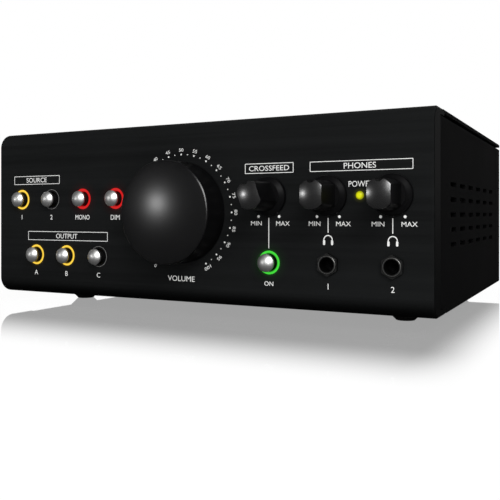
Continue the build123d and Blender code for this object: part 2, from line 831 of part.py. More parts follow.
def shaft(x, height, turn, tip):
    """Potentiometer shaft with a flat where the knob grips it."""
    body = bare_rod(shaft_radius, -tip, shaft_end)
    body = chamfer(body.edges().filter_by(GeomType.CIRCLE).sort_by(Axis.Y)[0], bush_chamfer)
    flat_length = tip - bush_reach - hub_lift / 2
    cutter = Box(2 * shaft_radius, flat_length, shaft_radius)
    body -= Pos(0, -tip + flat_length / 2, shaft_flat + shaft_radius / 2) * cutter
    return turned_about(x, height, turn, body)


def shaft_bore(tip):
    """The flatted hole in a knob's hub."""
    radius = shaft_radius + thread_gap
    length = tip + thread_gap
    cutter = Box(2 * radius, 2 * length, radius)
    return bare_rod(radius, -length, 0) - Pos(0, -length, shaft_flat + thread_gap + radius / 2) * cutter


def volume_knob():
    """Large drum with a crowned face, hollow behind, with a ribbed hub and a groove down its side."""
    rim = volume_knob_reach
    outer = volume_knob_radius
    side = Polyline((0, -rim - volume_crown), (0, -knob_lift), (outer, -knob_lift), (outer, -rim))
    profile = make_face(Curve() + [side, crown(outer, rim, volume_crown)])
    body = revolve(eased(profile, {(outer, -rim): volume_edge_round}), Axis.Y)
    inner_face = volume_shaft_tip - thread_gap
    hollow = bare_rod(outer - volume_wall, -inner_face, 0)
    hollow -= bare_rod(hub_radius, -inner_face, -bush_reach - hub_lift)
    rib_length = inner_face - bush_reach - hub_lift
    for angle in range(0, 180, 45):
        rib = Pos(0, -inner_face + rib_length / 2, 0) * Box(2 * outer, rib_length, volume_rib)
        hollow -= Rot(0, angle, 0) * (rib - bare_rod(shaft_radius + volume_rib, -inner_face, 0))
    body -= hollow
    body -= shaft_bore(volume_shaft_tip)
    mark = Box(volume_mark_width, rim, 2 * volume_mark_depth)
    body -= Pos(0, -rim / 2 - knob_lift, outer) * mark
    return turned_about(0, volume_height, volume_rest_turn, body)


def level_knob(x, turn):
    """Small knob: round skirt, tapered grip with two flats, and a pointer notch along its top."""
    tip = level_knob_reach
    rim = tip - grip_crown
    skirt_top = (skirt_radius, -knob_lift - skirt_edge)
    root = (grip_root_radius, -skirt_height)
    grip_end = (grip_tip_radius, -rim)
    side = Polyline((0, -tip), (0, -knob_lift), (skirt_radius, -knob_lift), skirt_top, root, grip_end)
    profile = make_face(Curve() + [side, crown(grip_tip_radius, rim, grip_crown)])
    corners = {skirt_top: skirt_edge_round, root: grip_root_round, grip_end: grip_edge_round}
    body = revolve(eased(profile, corners), Axis.Y)
    grip_length = tip - skirt_height
    cutter = Box(grip_root_radius, grip_length, 4 * grip_root_radius)
    for side in (-1, 1):
        body -= Pos(side * (grip_half_width + grip_root_radius / 2), -tip + grip_length / 2, 0) * cutter
    notch_centre = grip_tip_radius - grip_notch_depth + grip_notch_radius
    body -= Pos(0, 0, notch_centre) * bare_rod(grip_notch_radius, -tip, -skirt_height)
    nut_room = pot_nut_flats / 2 * pot_nut_corner + pot_nut_room
    body -= bare_rod(nut_room, -bush_reach - hub_lift, 0)
    body -= shaft_bore(level_shaft_tip)
    return turned_about(x, upper_row, turn, body)


# ---------------------------------------------------------------- push buttons
def button(x, height):
    """Domed cap on a stem that runs through its light ring to a plunger in its switch."""
    side = Polyline((0, -cap_front), (0, -cap_back), (cap_radius, -cap_back), (cap_radius, -cap_widest))
    profile = make_face(Curve() + [side, crown(cap_radius, cap_widest, cap_front - cap_widest)])
    corners = {(cap_radius, -cap_back): cap_edge_round, (cap_radius, -cap_widest): cap_edge_round / 2}
    cap = Pos(x, front_y, front_base + height) * revolve(eased(profile, corners), Axis.Y)
    stem = rod(x, height, stem_radius, -cap_back - seam, switch_face - button_travel - stop_gap)
    return cap + stem + rod(x, height, plunger_radius, 0, switch_face + plunger_grip)


def light_ring(x, height):
    """Clear ring in the panel, flanged behind it, opening out round the switch."""
    back = control_board_depth - ring_end_gap
    inner = ring_radius - ring_wall
    shelf = switch_face - ring_shelf_gap
    outline = [
        (ring_bore, 0), (ring_radius, 0), (ring_radius, bezel_wall), (ring_flange_radius, bezel_wall),
        (ring_flange_radius, bezel_wall + ring_flange), (ring_radius, bezel_wall + ring_flange),
        (ring_radius, back), (inner, back), (inner, shelf), (ring_bore, shelf),
    ]
    return turned(x, height, outline)


def push_switch(x, height):
    """Small square switch on the control board with a well for the plunger."""
    body = plate(x, (switch_face, control_board_depth), height, (switch_width, switch_width))
    well_end = switch_face + plunger_grip + button_travel + stop_gap
    return body - rod(x, height, plunger_radius + running_gap, switch_face - cut_past, well_end)


def ring_lamp(x, height):
    """Surface lamp on the control board behind its light ring."""
    across = (x - ring_lamp_width / 2, x + ring_lamp_width / 2)
    heights = (height + switch_width / 2 + stop_gap, height + ring_radius)
    return slab(across, (control_board_depth - ring_lamp_height, control_board_depth), heights)


def power_lamp():
    """Domed lamp with two leads to the control board."""
    side = Polyline((0, -lamp_dome), (0, lamp_back), (lamp_radius, lamp_back), (lamp_radius, 0))
    profile = make_face(Curve() + [side, crown(lamp_radius, 0, lamp_dome)])
    body = Pos(lamp_x, front_y, front_base + upper_row) * revolve(profile, Axis.Y)
    for side in (-1, 1):
        lead_x = lamp_x + side * lamp_lead_pitch / 2
        body += rod(lead_x, upper_row, lamp_lead_radius, lamp_back - seam, control_board_depth)
    return body


# ---------------------------------------------------------------- jacks and rear connectors
def jack_body(x, height, face, inward):
    """Jack housing against the panel's inner face, bored for the plug."""
    near, far = sorted((face, face + inward * jack_body_length))
    body = plate(x, (near, far), height, (jack_body_width, jack_body_width))
    body = chamfer(body.edges().filter_by(Axis.Y), jack_body_chamfer)
    mouth = face - inward * cut_past
    near, far = sorted((mouth, face + inward * jack_bore_depth))
    body -= rod(x, height, jack_bore, near, far)
    near, far = sorted((mouth, face + inward * jack_socket_depth))
    return body - rod(x, height, jack_sleeve_radius + thread_gap, near, far)


def jack_sleeve(x, height, face, inward, panel):
    """Threaded metal sleeve that leads the plug in through the panel."""
    proud = panel + jack_nut_height + jack_sleeve_proud
    near, far = sorted((face - inward * proud, face + inward * jack_socket_depth))
    body = rod(x, height, jack_sleeve_radius, near, far)
    rim = body.edges().filter_by(GeomType.CIRCLE).sort_by(Axis.Y)
    body = chamfer(rim[0] if inward > 0 else rim[-1], jack_sleeve_chamfer)
    return body - rod(x, height, jack_bore, near - cut_past, far + cut_past)


def jack_nut(x, height, outer_face, inward):
    """Nut on the panel's outer face."""
    near, far = sorted((outer_face, outer_face - inward * jack_nut_height))
    bore = jack_sleeve_radius + thread_gap
    return nut(x, height, jack_nut_flats, jack_nut_corner, bore, near, far)


def phono_sockets():
    """Block with two phono sockets, one over the other."""
    width, tall = phono_body
    tip = case_depth + phono_reach
    body = plate(phono_x, (jack_board_depth, rear_inner), phono_height, (width, tall))
    hollow = (width - 2 * phono_wall, tall + 2 * cut_past)
    body -= plate(phono_x, (jack_board_depth + board, rear_inner - phono_front), phono_height, hollow)
    for height in phono_heights:
        body += rod(phono_x, height, phono_collar_radius, rear_inner - seam, case_depth + phono_collar_proud)
        body += rod(phono_x, height, phono_radius, case_depth, tip)
        body -= rod(phono_x, height, phono_bore, case_depth, tip + cut_past)
        body += rod(phono_x, height, phono_bore - phono_plug_gap, case_depth - seam, tip - phono_plug_gap)
        body -= rod(phono_x, height, phono_contact, case_depth, tip)
    return body


def usb_socket():
    """Square socket with two bevelled corners and a tongue in its cavity."""
    width, deep, tall = usb_size
    rear = case_depth + socket_proud
    middle = main_board_top + tall / 2
    body = plate(usb_x, (rear - deep, rear), middle, (width, tall))
    cavity = plate(usb_x, (rear - usb_cavity_depth, rear + cut_past), middle, usb_cavity)
    cavity = chamfer(cavity.edges().filter_by(Axis.Y).group_by(Axis.Z)[-1], usb_cavity_chamfer)
    tongue = plate(usb_x, (rear - usb_cavity_depth - seam, rear - cut_past), middle, usb_tongue)
    return body - cavity + tongue


def power_inlet():
    """Barrel inlet with its centre pin."""
    width, deep, tall = inlet_size
    mouth = case_depth + socket_proud
    bottom = mouth - inlet_bore_depth
    body = plate(inlet_x, (rear_inner - deep, rear_inner), inlet_height, (width, tall))
    body += rod(inlet_x, inlet_height, inlet_nose_radius, rear_inner - seam, mouth)
    body -= rod(inlet_x, inlet_height, inlet_bore, bottom, mouth + cut_past)
    return body + rod(inlet_x, inlet_height, inlet_pin, bottom - seam, case_depth - cut_past)


def rocker_switch():
    """Snap-in switch housing: flange outside the rear panel, well for the rocker, three blades."""
    inner_end = case_depth - rocker_body_depth
    body = plate(rocker_x, (inner_end, case_depth + seam), rocker_height, rocker_body)
    flange = plate(rocker_x, (case_depth, case_depth + rocker_flange_height), rocker_height, rocker_flange)
    body += chamfer(flange.edges().group_by(Axis.Y)[-1], rocker_flange_chamfer)
    well = (inner_end + rocker_floor, case_depth + rocker_flange_height + cut_past)
    body -= plate(rocker_x, well, rocker_height, rocker_opening)
    pin_length = rocker_opening[0] + 2 * (rocker_pin_reach + seam)
    pin_place = Pos(rocker_x, front_y + rocker_pivot, front_base + rocker_height)
    body -= pin_place * Rot(0, 90, 0) * Cylinder(rocker_pin_radius + running_gap, pin_length)
    width, reach, thick = rocker_blade
    for index in (-1, 0, 1):
        blade_height = rocker_height + index * rocker_blade_pitch
        body += plate(rocker_x, (inner_end - reach, inner_end + seam), blade_height, (width, thick))
    return body


def power_rocker():
    """Rocker with a dished face and a round belly, tilted to its rest position."""
    half = rocker_opening[1] / 2 - rocker_end_gap
    width = rocker_opening[0] - 2 * rocker_gap
    curve = Curve() + [
        Line((-rocker_side, -half), (rocker_tip, -half)),
        ThreePointArc((rocker_tip, -half), (rocker_dip, 0), (rocker_tip, half)),
        Line((rocker_tip, half), (-rocker_side, half)),
        ThreePointArc((-rocker_side, half), (-rocker_belly, 0), (-rocker_side, -half)),
    ]
    body = extrude(Plane.YZ * make_face(curve), amount=width / 2, both=True)
    body += Rot(0, 90, 0) * Cylinder(rocker_pin_radius, rocker_opening[0] + 2 * rocker_pin_reach)
    place = Pos(rocker_x, front_y + rocker_pivot, front_base + rocker_height)
    return place * Rot(-rocker_tilt, 0, 0) * body


# ---------------------------------------------------------------- every node, by its file name
def build_nodes():
    """Every sub-part of the controller by its node's name."""
    nodes = {
        "front_bezel": front_bezel(),
        "chassis_tray": chassis_tray(),
        "top_cover": top_cover(),
        "rear_panel": rear_panel(),
        "rubber_feet": group(foot(*place) for place in foot_places),
        "foot_screws": group(foot_screw(*place) for place in foot_places),
        "cover_screws": group(countersunk(x, depth, front_height, wall_top - screw_grip, -1)
                              for x, depth in cover_screw_places),
        "bezel_screws": group(countersunk(x, depth, 0, bezel_wall + sheet + seam, 1)
                              for x, depth in bezel_screw_places),
        "rear_screws": group(pan_screw(x, height, case_depth, rear_inner - sheet - screw_grip)
                             for x, height in rear_screw_places + rear_top_screw_places),
        "main_board": main_board(),
        "main_standoffs": group(standoff(*place) for place in main_screw_places),
        "main_board_screws": group(board_screw(*place) for place in main_screw_places),
        "control_board": control_board(),
        "control_spacers": group(control_spacer(*place) for place in control_screw_places),
        "control_screws": group(pan_screw(x, height, control_board_back, bezel_wall + seam)
                                for x, height in control_screw_places),
        "jack_board": jack_board(),
        "capacitors": group(capacitor(*place) for place in capacitor_places),
        "heat_sink": heat_sink(),
        "regulator": regulator(),
        "relays": group(on_board(x, relay_depth, relay_size) for x in output_jack_xs),
        "amplifier_chips": group(chip(*place) for place in chip_places),
    }
    nodes["ribbon_headers"] = group([
        board_header(front_ribbon_x, front_ribbon_landing),
        board_header(rear_ribbon_x, rear_ribbon_landing),
        upright_header(front_ribbon_x, control_board_back, 1),
        upright_header(rear_ribbon_x, jack_board_depth - board, -1),
    ])
    nodes["front_ribbon"] = ribbon(front_ribbon_x, control_board_back + header_height, front_ribbon_landing)
    nodes["rear_ribbon"] = ribbon(rear_ribbon_x, jack_board_depth - board - header_height, rear_ribbon_landing)

    nodes["volume_pot"] = volume_pot()
    nodes["level_pots"] = group(level_pot(x) for x in level_xs.values())
    nodes["pot_nuts"] = pot_nuts()
    nodes["volume_shaft"] = shaft(0, volume_height, volume_rest_turn, volume_shaft_tip)
    nodes["volume_knob"] = volume_knob()
    for name, x in level_xs.items():
        turn = level_rest_turns[name]
        nodes[name + "_shaft"] = shaft(x, upper_row, turn, level_shaft_tip)
        nodes[name + "_knob"] = level_knob(x, turn)

    for name, place in button_places.items():
        nodes[name + "_button"] = button(*place)
    for colour, names in ring_colours.items():
        nodes[colour + "_rings"] = group(light_ring(*button_places[name]) for name in names)
    nodes["push_switches"] = group(push_switch(*place) for place in button_places.values())
    nodes["ring_lamps"] = group(ring_lamp(*place) for place in button_places.values())
    nodes["power_lamp"] = power_lamp()

    nodes["phones_jacks"] = group(jack_body(x, lower_row, bezel_wall, 1) for x in phones_jack_xs)
    nodes["phones_sleeves"] = group(jack_sleeve(x, lower_row, bezel_wall, 1, bezel_wall)
                                    for x in phones_jack_xs)
    nodes["rear_jacks"] = group(jack_body(*place, rear_inner, -1) for place in rear_jack_places)
    nodes["rear_sleeves"] = group(jack_sleeve(*place, rear_inner, -1, sheet) for place in rear_jack_places)
    nuts = [jack_nut(x, lower_row, 0, 1) for x in phones_jack_xs]
    nuts += [jack_nut(*place, case_depth, -1) for place in rear_jack_places]
    nodes["jack_nuts"] = group(nuts)
    nodes["phono_sockets"] = phono_sockets()
    nodes["usb_socket"] = usb_socket()
    nodes["power_inlet"] = power_inlet()
    nodes["rocker_switch"] = rocker_switch()
    nodes["power_rocker"] = power_rocker()
    return nodes


for node_name, node_shape in build_nodes().items():
    export_step(node_shape, f"parts/{node_name}.step")
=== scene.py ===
"""Dresses the studio monitor controller's frame: finishes, legends, lit rings and the stage."""

import json
import math

import bmesh
import bpy
from bpy.props import FloatProperty, FloatVectorProperty, PointerProperty
from bpy.types import Operator, Panel, PropertyGroup
from mathutils import Matrix, Vector


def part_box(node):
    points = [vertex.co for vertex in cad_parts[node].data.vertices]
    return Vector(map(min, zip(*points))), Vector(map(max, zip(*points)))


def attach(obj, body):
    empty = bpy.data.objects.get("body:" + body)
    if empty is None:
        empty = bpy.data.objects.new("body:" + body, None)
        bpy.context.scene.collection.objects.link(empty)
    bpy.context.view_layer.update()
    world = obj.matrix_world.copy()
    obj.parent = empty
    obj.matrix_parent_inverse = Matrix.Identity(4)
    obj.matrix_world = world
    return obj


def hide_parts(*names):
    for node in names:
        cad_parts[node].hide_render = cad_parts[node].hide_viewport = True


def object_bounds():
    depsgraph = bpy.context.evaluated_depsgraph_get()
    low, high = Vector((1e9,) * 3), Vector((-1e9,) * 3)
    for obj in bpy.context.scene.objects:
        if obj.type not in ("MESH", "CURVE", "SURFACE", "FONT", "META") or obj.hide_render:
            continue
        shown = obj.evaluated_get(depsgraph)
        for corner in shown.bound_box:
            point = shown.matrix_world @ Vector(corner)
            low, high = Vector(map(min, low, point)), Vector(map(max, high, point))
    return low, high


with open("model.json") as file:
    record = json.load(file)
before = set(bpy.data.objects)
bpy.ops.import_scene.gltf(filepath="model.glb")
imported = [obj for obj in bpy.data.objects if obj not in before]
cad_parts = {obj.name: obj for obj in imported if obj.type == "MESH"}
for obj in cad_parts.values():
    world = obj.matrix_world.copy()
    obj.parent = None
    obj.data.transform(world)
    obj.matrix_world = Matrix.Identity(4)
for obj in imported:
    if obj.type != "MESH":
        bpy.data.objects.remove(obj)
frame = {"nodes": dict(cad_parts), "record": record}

bl_info = {
    "name": "Studio monitor controller",
    "version": (1, 0, 0),
    "blender": (4, 5, 0),
    "location": "3D View > Sidebar > Controller",
    "description": "Finishes, legends and lit rings for a desk-top studio monitor controller",
    "category": "Object",
}

MM = 0.001
BUTTONS = ("source_1", "source_2", "mono", "dim", "output_a", "output_b", "output_c", "crossfeed")
RINGS = {
    "amber_rings": ("source_1", "output_a", "output_b"),
    "red_rings": ("mono", "dim"),
    "green_rings": ("crossfeed",),
    "clear_rings": ("source_2", "output_c"),
}

# The lit rings: their colour; the spill towards the stem; where the band starts to glow and glows in
# full, in millimetres past its inner edge; the painted halo on the front, close by and further out.
LIGHTS = {
    "amber_rings": ("amber", 0.05, -0.10, 0.60, 0.030, 0.0015),
    "red_rings": ("red", 0.35, -0.60, 0.35, 0.040, 0.014),
    "green_rings": ("green", 0.09, -0.10, 0.60, 0.050, 0.012),
}

# The framed headings on the front: the controls they stand over, from the first to the last; then in
# millimetres the rise above them, the frame's width and height, and the word's height and width.
HEADINGS = {
    "SOURCE": ("source_1_button", "source_2_button", 10.25, 32.2, 4.5, 2.5, 14.3),
    "OUTPUT": ("output_b_button", "output_b_button", 9.95, 53.65, 4.7, 2.5, 14.3),
    "CROSSFEED": ("crossfeed_shaft", "crossfeed_shaft", 12.45, 23.8, 4.5, 2.3, 19.7),
    "PHONES": ("phones_1_shaft", "phones_2_shaft", 12.4, 44.6, 4.35, 2.4, 13.95),
}

# The lamps: degrees from straight ahead to the right, degrees up, distance, size and power.
LAMPS = {
    "key": (-37.0, 4.0, 1.6, 0.12, 2.0),
    "rim": (48.0, 34.0, 1.2, 0.60, 9.5),
    "upper": (24.0, 20.0, 1.3, 0.80, 10.0),
}

WHITE = (1.0, 1.0, 1.0)
BLACK = (0.0, 0.0, 0.0)
NYLON = ((0.010, 0.010, 0.011), (0.022, 0.022, 0.023))
WIRE_PITCH = 1.27 * MM
THREAD_PITCH = 0.5 * MM
HEADING_LETTER = 2.5 * MM


# -------- places on the frame

def middle(node):
    """The middle of a node's box."""
    low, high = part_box(node)
    return (low + high) / 2


def on_front(node):
    """A control's place on the front: across, and up from the table."""
    centre = middle(node)
    return Vector((centre.x, centre.z))


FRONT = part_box("front_bezel")[0].y
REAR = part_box("rear_panel")[1].y
CASE_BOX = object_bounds()
PLACES = {mount["name"]: Vector((mount["pos_m"][0], mount["pos_m"][2]))
          for mount in frame["record"]["mounts"]}


# -------- settings

def length(name, description, default):
    return FloatProperty(name=name, description=description, default=default, min=0.0,
                         unit="LENGTH", subtype="DISTANCE", precision=5)


def colour(name, description, default):
    return FloatVectorProperty(name=name, description=description, default=default,
                               subtype="COLOR", size=3, min=0.0, max=1.0)


def share(name, description, default):
    return FloatProperty(name=name, description=description, default=default, min=0.0, max=1.0,
                         subtype="FACTOR")


class ControllerSizes(PropertyGroup):
    """Sizes of the legends and of the light rings."""
    ink: length("Ink thickness", "How far the print stands off the panel", 0.03 * MM)
    line: length("Line width", "Width of the frames and the joining lines", 0.28 * MM)
    letter: length("Letter height", "Height of the words under the buttons", 2.4 * MM)
    small_letter: length("Small letter height", "Height of MIN, MAX and the rear's L and R", 1.9 * MM)
    numeral: length("Numeral height", "Height of the numbers round the volume knob", 1.55 * MM)
    scale_radius: length("Scale radius", "Radius of the circle of dots round the volume knob",
                         27.27 * MM)
    large_dot: length("Large dot radius", "Radius of the dots that carry a number", 0.42 * MM)
    small_dot: length("Small dot radius", "Radius of the dots between the numbers", 0.27 * MM)
    ring_radius: length("Ring radius", "Outer radius of the light rings", 5.2 * MM)
    ring_band: length("Ring band", "Width of a light ring's bright band", 1.25 * MM)
    ring_bore: length("Ring bore", "Radius of the hole that the button's stem passes", 3.55 * MM)


class ControllerColours(PropertyGroup):
    """Colours of the finishes and the lights."""
    panel: colour("Panel", "Brushed black of the front", (0.0050, 0.0053, 0.0054))
    paint: colour("Case paint", "Black paint of the tray, cover and rear", (0.0016, 0.0016, 0.0017))
    knob: colour("Knob", "Moulded black of the knobs", (0.0020, 0.0020, 0.0022))
    silver: colour("Silver", "Satin silver of the buttons", (0.88, 0.88, 0.87))
    ink: colour("Ink", "Pale grey of the print", (0.51, 0.51, 0.50))
    amber: colour("Amber", "Light of the amber rings", (0.94, 0.61, 0.06))
    red: colour("Red", "Light of the red rings", (0.56, 0.012, 0.012))
    green: colour("Green", "Light of the green ring", (0.05, 0.61, 0.04))
    yellow: colour("Yellow", "Light of the power lamp", (0.68, 0.70, 0.008))
    mirror: share("Floor shine", "How much the floor reflects beside the case", 0.64)


# -------- shader maths

class Field:
    """One output of a shader node, with the operators that the finishes use."""

    def __init__(self, shader, socket):
        self.shader = shader
        self.socket = socket

    def maths(self, operation, first, second):
        return self.shader.node("ShaderNodeMath", {"operation": operation}, {0: first, 1: second})

    def __add__(self, other):
        return self.maths("ADD", self, other)

    __radd__ = __add__

    def __sub__(self, other):
        return self.maths("SUBTRACT", self, other)

    def __rsub__(self, other):
        return self.maths("SUBTRACT", other, self)

    def __mul__(self, other):
        return self.maths("MULTIPLY", self, other)

    __rmul__ = __mul__

    def __abs__(self):
        return self.maths("ABSOLUTE", self, 0.0)

    def least(self, other):
        return self.maths("MINIMUM", self, other)

    def most(self, other):
        return self.maths("MAXIMUM", self, other)

    def wave(self):
        return self.maths("SINE", self, 0.0)

    def above(self, edge):
        return self.maths("GREATER_THAN", self, edge)

    def rise(self, low, high):
        """Goes smoothly from 0 at low to 1 at high."""
        return self.shader.node("ShaderNodeMapRange", {"interpolation_type": "SMOOTHSTEP"},
                                {"Value": self, "From Min": low, "From Max": high})

    def fall(self, low, high):
        """Goes smoothly from 1 at low to 0 at high."""
        return 1.0 - self.rise(low, high)


class Shader:
    """The nodes of a material or of the world."""

    def __init__(self, tree):
        self.tree = tree

    def plug(self, socket, value):
        if isinstance(value, Field):
            self.tree.links.new(value.socket, socket)
        elif socket.type == "RGBA" and len(value) == 3:
            socket.default_value = (*value, 1.0)
        else:
            socket.default_value = value

    def node(self, kind, settings=None, inputs=None, output=0):
        """Adds any node: its settings first, then the values or links of its sockets."""
        made = self.tree.nodes.new(kind)
        for key, value in (settings or {}).items():
            setattr(made, key, value)
        for key, value in (inputs or {}).items():
            self.plug(made.inputs[key], value)
        return Field(self, made.outputs[output])


class Finish(Shader):
    """A material in the making. What varies over a surface starts from its object coordinates."""

    def __init__(self, name, **constants):
        self.material = bpy.data.materials.new(name)
        self.material.use_nodes = True
        super().__init__(self.material.node_tree)
        self.skin = self.tree.nodes["Principled BSDF"]
        for key, value in constants.items():
            self.set(key.replace("_", " ").title().replace("Ior", "IOR"), value)

    def set(self, name, value):
        self.plug(self.skin.inputs[name], value)

    def spot(self):
        return self.node("ShaderNodeTexCoord", output="Object")

    def place(self, scale=(1.0, 1.0, 1.0), shift=(0.0, 0.0, 0.0)):
        """Object coordinates, stretched and shifted for a pattern."""
        return self.node("ShaderNodeMapping", {"vector_type": "POINT"},
                         {"Vector": self.spot(), "Location": shift, "Scale": scale})

    def axes(self):
        """The three object coordinates as fields."""
        parts = self.node("ShaderNodeSeparateXYZ", None, {0: self.spot()})
        return [Field(self, socket) for socket in parts.socket.node.outputs]

    def noise(self, scale, detail=2.0, roughness=0.5):
        scale = scale if isinstance(scale, tuple) else (scale,) * 3
        return self.node("ShaderNodeTexNoise", None,
                         {"Vector": self.place(scale), "Scale": 1.0, "Detail": detail,
                          "Roughness": roughness})

    def blend(self, amount, first, second):
        """A colour between two colours."""
        return self.node("ShaderNodeMix", {"data_type": "RGBA"}, {0: amount, 6: first, 7: second}, 2)

    def bump(self, height, depth, strength):
        """A relief of that depth in metres."""
        relief = {"Strength": strength, "Distance": depth, "Height": height}
        self.set("Normal", self.node("ShaderNodeBump", None, relief))

    def vary(self, pattern, dark, light, rough, spread):
        """Lets the colour and the roughness follow one pattern."""
        self.set("Base Color", self.blend(pattern, dark, light))
        self.set("Roughness", rough + spread * pattern)

    def from_axis(self, centres):
        """Distance in the front's plane from the nearest of some places on it."""
        flat = self.node("ShaderNodeVectorMath", {"operation": "MULTIPLY"},
                         {0: self.spot(), 1: (1.0, 0.0, 1.0)})
        gaps = [self.node("ShaderNodeVectorMath", {"operation": "DISTANCE"},
                          {0: flat, 1: (place.x, 0.0, place.y)}, "Value") for place in centres]
        nearest = gaps[0]
        for gap in gaps[1:]:
            nearest = nearest.least(gap)
        return nearest


def dress(finish, *nodes):
    """Gives a finish to frame nodes."""
    for name in nodes:
        for slot in frame["nodes"][name].material_slots:
            slot.material = finish.material


def scaled(shade, factor):
    return tuple(min(1.0, part * factor) for part in shade)


# -------- pieces

def settle(name, sheet, finish, body, replaces=()):
    """Turns a bmesh into a piece of the object that rides on a body."""
    mesh = bpy.data.meshes.new(name)
    sheet.to_mesh(mesh)
    sheet.free()
    piece = bpy.data.objects.new(name, mesh)
    bpy.context.scene.collection.objects.link(piece)
    mesh.materials.append(finish.material)
    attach(piece, body)
    if replaces:
        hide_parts(*replaces)
    return piece


def recast(node, body, finish, side=None, edge=0.0, foot=0.0):
    """A merged copy of a turned node, which shades evenly up to its poles.

    Its side can have a finish of its own: whatever lies further than edge from the shaft's axis, or
    less than foot in front of the bezel.
    """
    sheet = bmesh.new()
    sheet.from_mesh(frame["nodes"][node].data)
    bmesh.ops.remove_doubles(sheet, verts=sheet.verts, dist=1e-6)
    axis = on_front(body.replace("_dial", "_shaft")) if side else None
    for face in sheet.faces:
        face.smooth = True
        spot = face.calc_center_median()
        face.material_index = int(side is not None and (
            (Vector((spot.x, spot.z)) - axis).length > edge or spot.y > FRONT - foot))
    piece = settle(node + "_shell", sheet, finish, body, (node,))
    if side:
        piece.data.materials.append(side.material)
    old = piece.data.attributes.get("custom_normal")
    if old:
        piece.data.attributes.remove(old)
    piece.data.set_sharp_from_angle(angle=math.radians(32))


